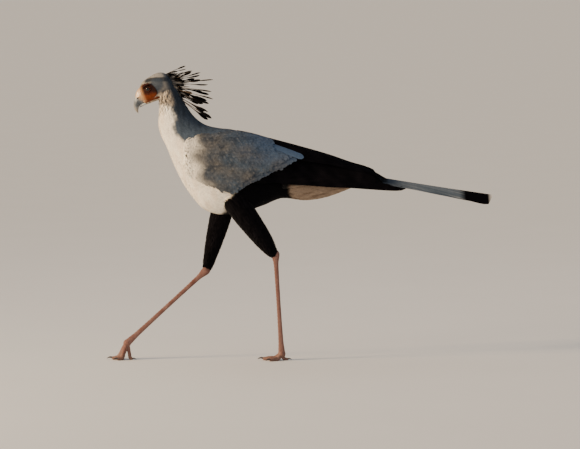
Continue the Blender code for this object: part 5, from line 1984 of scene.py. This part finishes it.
def claw_rings(joint, turn, length, side, radius, small):
    """A blunt curved claw at the end of a toe, its tip near the floor."""
    line, ahead = toe_line(joint, turn, length, side, radius * 0.8)
    end = line[-1].copy()
    end[2] = max(end[2], radius * TOE_WIDTHS[-1] * 0.85 - TOE_FLAT)
    size = CLAW * small
    share = np.linspace(0, 1, 40)
    path = end + ahead * (-2.5 + (size + 2.9) * share)[:, None]
    path[:, 2] += size * (0.2 * np.sin(PI * share) - 0.1 * share)
    half = radius * 0.42 * np.interp(share, [0, 0.15, 0.4, 0.65, 0.88, 1.0], [1, 1, 0.85, 0.62, 0.36, 0.12])
    path[:, 2] = np.maximum(path[:, 2], half + 0.3)
    across, top = upright_frame(path)
    angle = np.linspace(-PI, PI, 24, endpoint=False)
    flat = 1 - 0.22 * (np.cos(angle) < -0.3)
    return (
        path[:, None]
        + top[:, None] * (half[:, None] * np.cos(angle) * flat)[..., None]
        + across[:, None] * (half[:, None] * 0.86 * np.sin(angle))[..., None]
    )


def plate_lines(points, ankle, joint, side):
    """1 at the dark seams between the plates down the front of a bare leg."""
    top, _, length, ahead, front = leg_line(ankle, joint, side)
    off = points - top
    share = off @ ahead / length
    phase = (share * PLATES) % 1.0
    line = np.maximum(step_up(0.16, 0.0, phase), step_up(0.95, 1.0, phase))
    facing = off @ front / SHANK_HALF
    ends = step_up(0.03, 0.08, share) * step_up(0.98, 0.95, share)
    return line * ends * step_up(0.1, 0.5, facing)


def leg_colour(points, place):
    """Pinkish skin with browner spots, dusty toes and dark seams between the plates."""
    base = mixed(LEG_PINK, LEG_LIGHT, 0.5 + 0.5 * noise(points, 24, 23))
    base = mixed(base, LEG_SPOT, spots(points, 9, 24) * 0.4)
    base = mixed(base, TOE_DUST, step_up(30, 4, points[:, 2]) * 0.5)
    return mixed(base, PLATE_SEAM, plate_lines(points, *place) * 0.6)


def ball_rings(ankle, joint, side):
    """The ball of the foot where the toes meet."""
    ahead = unit(np.array([joint[0] - ankle[0], 0.0, joint[1] - ankle[1]]))
    up = np.cross(SIDEWAYS, ahead)
    angle = np.linspace(0.03, PI - 0.03, 40)
    turn = np.linspace(0, 2 * PI, 48, endpoint=False)
    return (
        np.array([joint[0], side * FOOT_Y, joint[1]], float)
        + ahead * (BALL[0] * np.cos(angle))[:, None, None]
        + SIDEWAYS * (BALL[1] * np.sin(angle)[:, None] * np.cos(turn))[..., None]
        + up * (BALL[2] * np.sin(angle)[:, None] * np.sin(turn))[..., None]
    )


for ankle, joint, (side, tag) in ((NEAR_ANKLE, NEAR_JOINT, SIDES[0]), (FAR_ANKLE, FAR_JOINT, SIDES[1])):
    place = (ankle, joint, side)
    parts = [tube_object("shank", shank_rings(*place)), tube_object("ball", ball_rings(*place))]
    for turn, length, radius, _ in TOES:
        parts.append(tube_object("toe", toe_rings(joint, turn, length, side, radius)))
    leg = remeshed(joined(f"leg_{tag}", parts), 0.95, 2)
    painted(leg, lambda points, place=place: leg_colour(points, place))
    dress(leg, "leg", f"shank_{tag}", f"foot_{tag}", slot="leg_pink")
    for i, (turn, length, radius, small) in enumerate(TOES):
        rings = claw_rings(joint, turn, length, side, radius, small)

        def claw_colour(points, end=rings[-1].mean(0)):
            """Black, and lighter where the claw leaves the toe."""
            away = np.linalg.norm(points - end, axis=1)
            return mixed(CLAW_BLACK, CLAW_ROOT, step_up(4, 14, away))

        claw = tube_object(f"claw_{tag}_{i + 1}_horn", rings, claw_colour)
        dress(claw, "claw", f"claw_{tag}_{i + 1}", slot="claw_dark")


# Stage, light and camera

FLOOR_REACH = 300000.0  # so far that its edge lies at the horizon
FLOOR_RINGS, FLOOR_SIDES = 12, 48


def flat_floor():
    """A level floor, finer near the bird."""
    radii = np.geomspace(1500, FLOOR_REACH, FLOOR_RINGS)
    turn = np.linspace(0, 2 * PI, FLOOR_SIDES, endpoint=False)
    ring = np.stack([np.cos(turn), np.sin(turn), 0 * turn], -1)
    points = np.concatenate([(radii[:, None, None] * ring).reshape(-1, 3), [(0, 0, 0)]]) + (CENTRE_X, 0, 0)
    j = np.arange(FLOOR_SIDES)
    middle = np.stack([0 * j + len(points) - 1, j, (j + 1) % FLOOR_SIDES], -1)
    return mesh_object("floor", points, grid_quads(FLOOR_RINGS, FLOOR_SIDES)[:, ::-1], middle)


# Plain pale studio paper: matt, with the faintest clouds of shade.
paper, tree, shader = blank("floor_paper", Roughness=0.9, Specular_IOR_Level=0.2)
place = add(tree, "ShaderNodeTexCoord").outputs["Object"]
grain = add(tree, "ShaderNodeTexNoise", Vector=place, Scale=3.0, Detail=3.0).outputs["Fac"]
clouds = add(tree, "ShaderNodeMix", {"data_type": "RGBA"}, i0=grain, i6=(*FLOOR_LOW, 1), i7=(*FLOOR_HIGH, 1))
tree.links.new(clouds.outputs[2], shader.inputs["Base Color"])
floor = flat_floor()
floor.data.materials.append(paper)

world = bpy.data.worlds.new("studio")
bpy.context.scene.world = world
world.use_nodes = True
set_all(world.node_tree.nodes["Background"], Color=(*STUDIO_SKY, 1), Strength=0.5)


def lamp(name, kind, place, aim, power, code, **shape):
    """A studio light that looks from its place to its aim."""
    light = bpy.data.lights.new(name, kind)
    light.energy = power
    light.color = linear(code)
    for field, value in shape.items():
        setattr(light, field, value)
    obj = linked(bpy.data.objects.new(name, light))
    obj.location = place
    obj.rotation_euler = (Vector(aim) - Vector(place)).to_track_quat("-Z", "Y").to_euler()


lamp("key", "SUN", (-3.9, -1.15, 1.75), (-0.1, 0, 0.5), 5.0, "FFE0B4", angle=math.radians(12))
lamp("softbox", "AREA", (-2.6, -1.5, 1.5), (-0.3, 0, 0.6), 34, "FFE6C4", shape="DISK", size=1.3)
lamp("fill", "AREA", (1.6, -3.6, 1.4), (0, 0, 0.5), 5, "DCE6F5", shape="DISK", size=2.4)
lamp("top", "AREA", (-0.4, 0.9, 3.4), (0, 0, 0.5), 12, "E8EEF8", shape="DISK", size=2.4)

camera = bpy.data.cameras.new("camera")
camera.sensor_width = 36.0
camera.lens = camera.sensor_width * CAMERA_AWAY / (PHOTO_WIDE * DOT)
camera.clip_end = 500
back = Vector((0, -math.cos(CAMERA_RISE), math.sin(CAMERA_RISE)))
aim = Vector(((PHOTO_MIDDLE[0] - CENTRE_X) * MM, 0, PHOTO_MIDDLE[1] * MM))
camera_object = linked(bpy.data.objects.new("camera", camera))
camera_object.location = aim + back * CAMERA_AWAY * MM
camera_object.rotation_euler = (-back).to_track_quat("-Z", "Y").to_euler()
bpy.context.scene.camera = camera_object
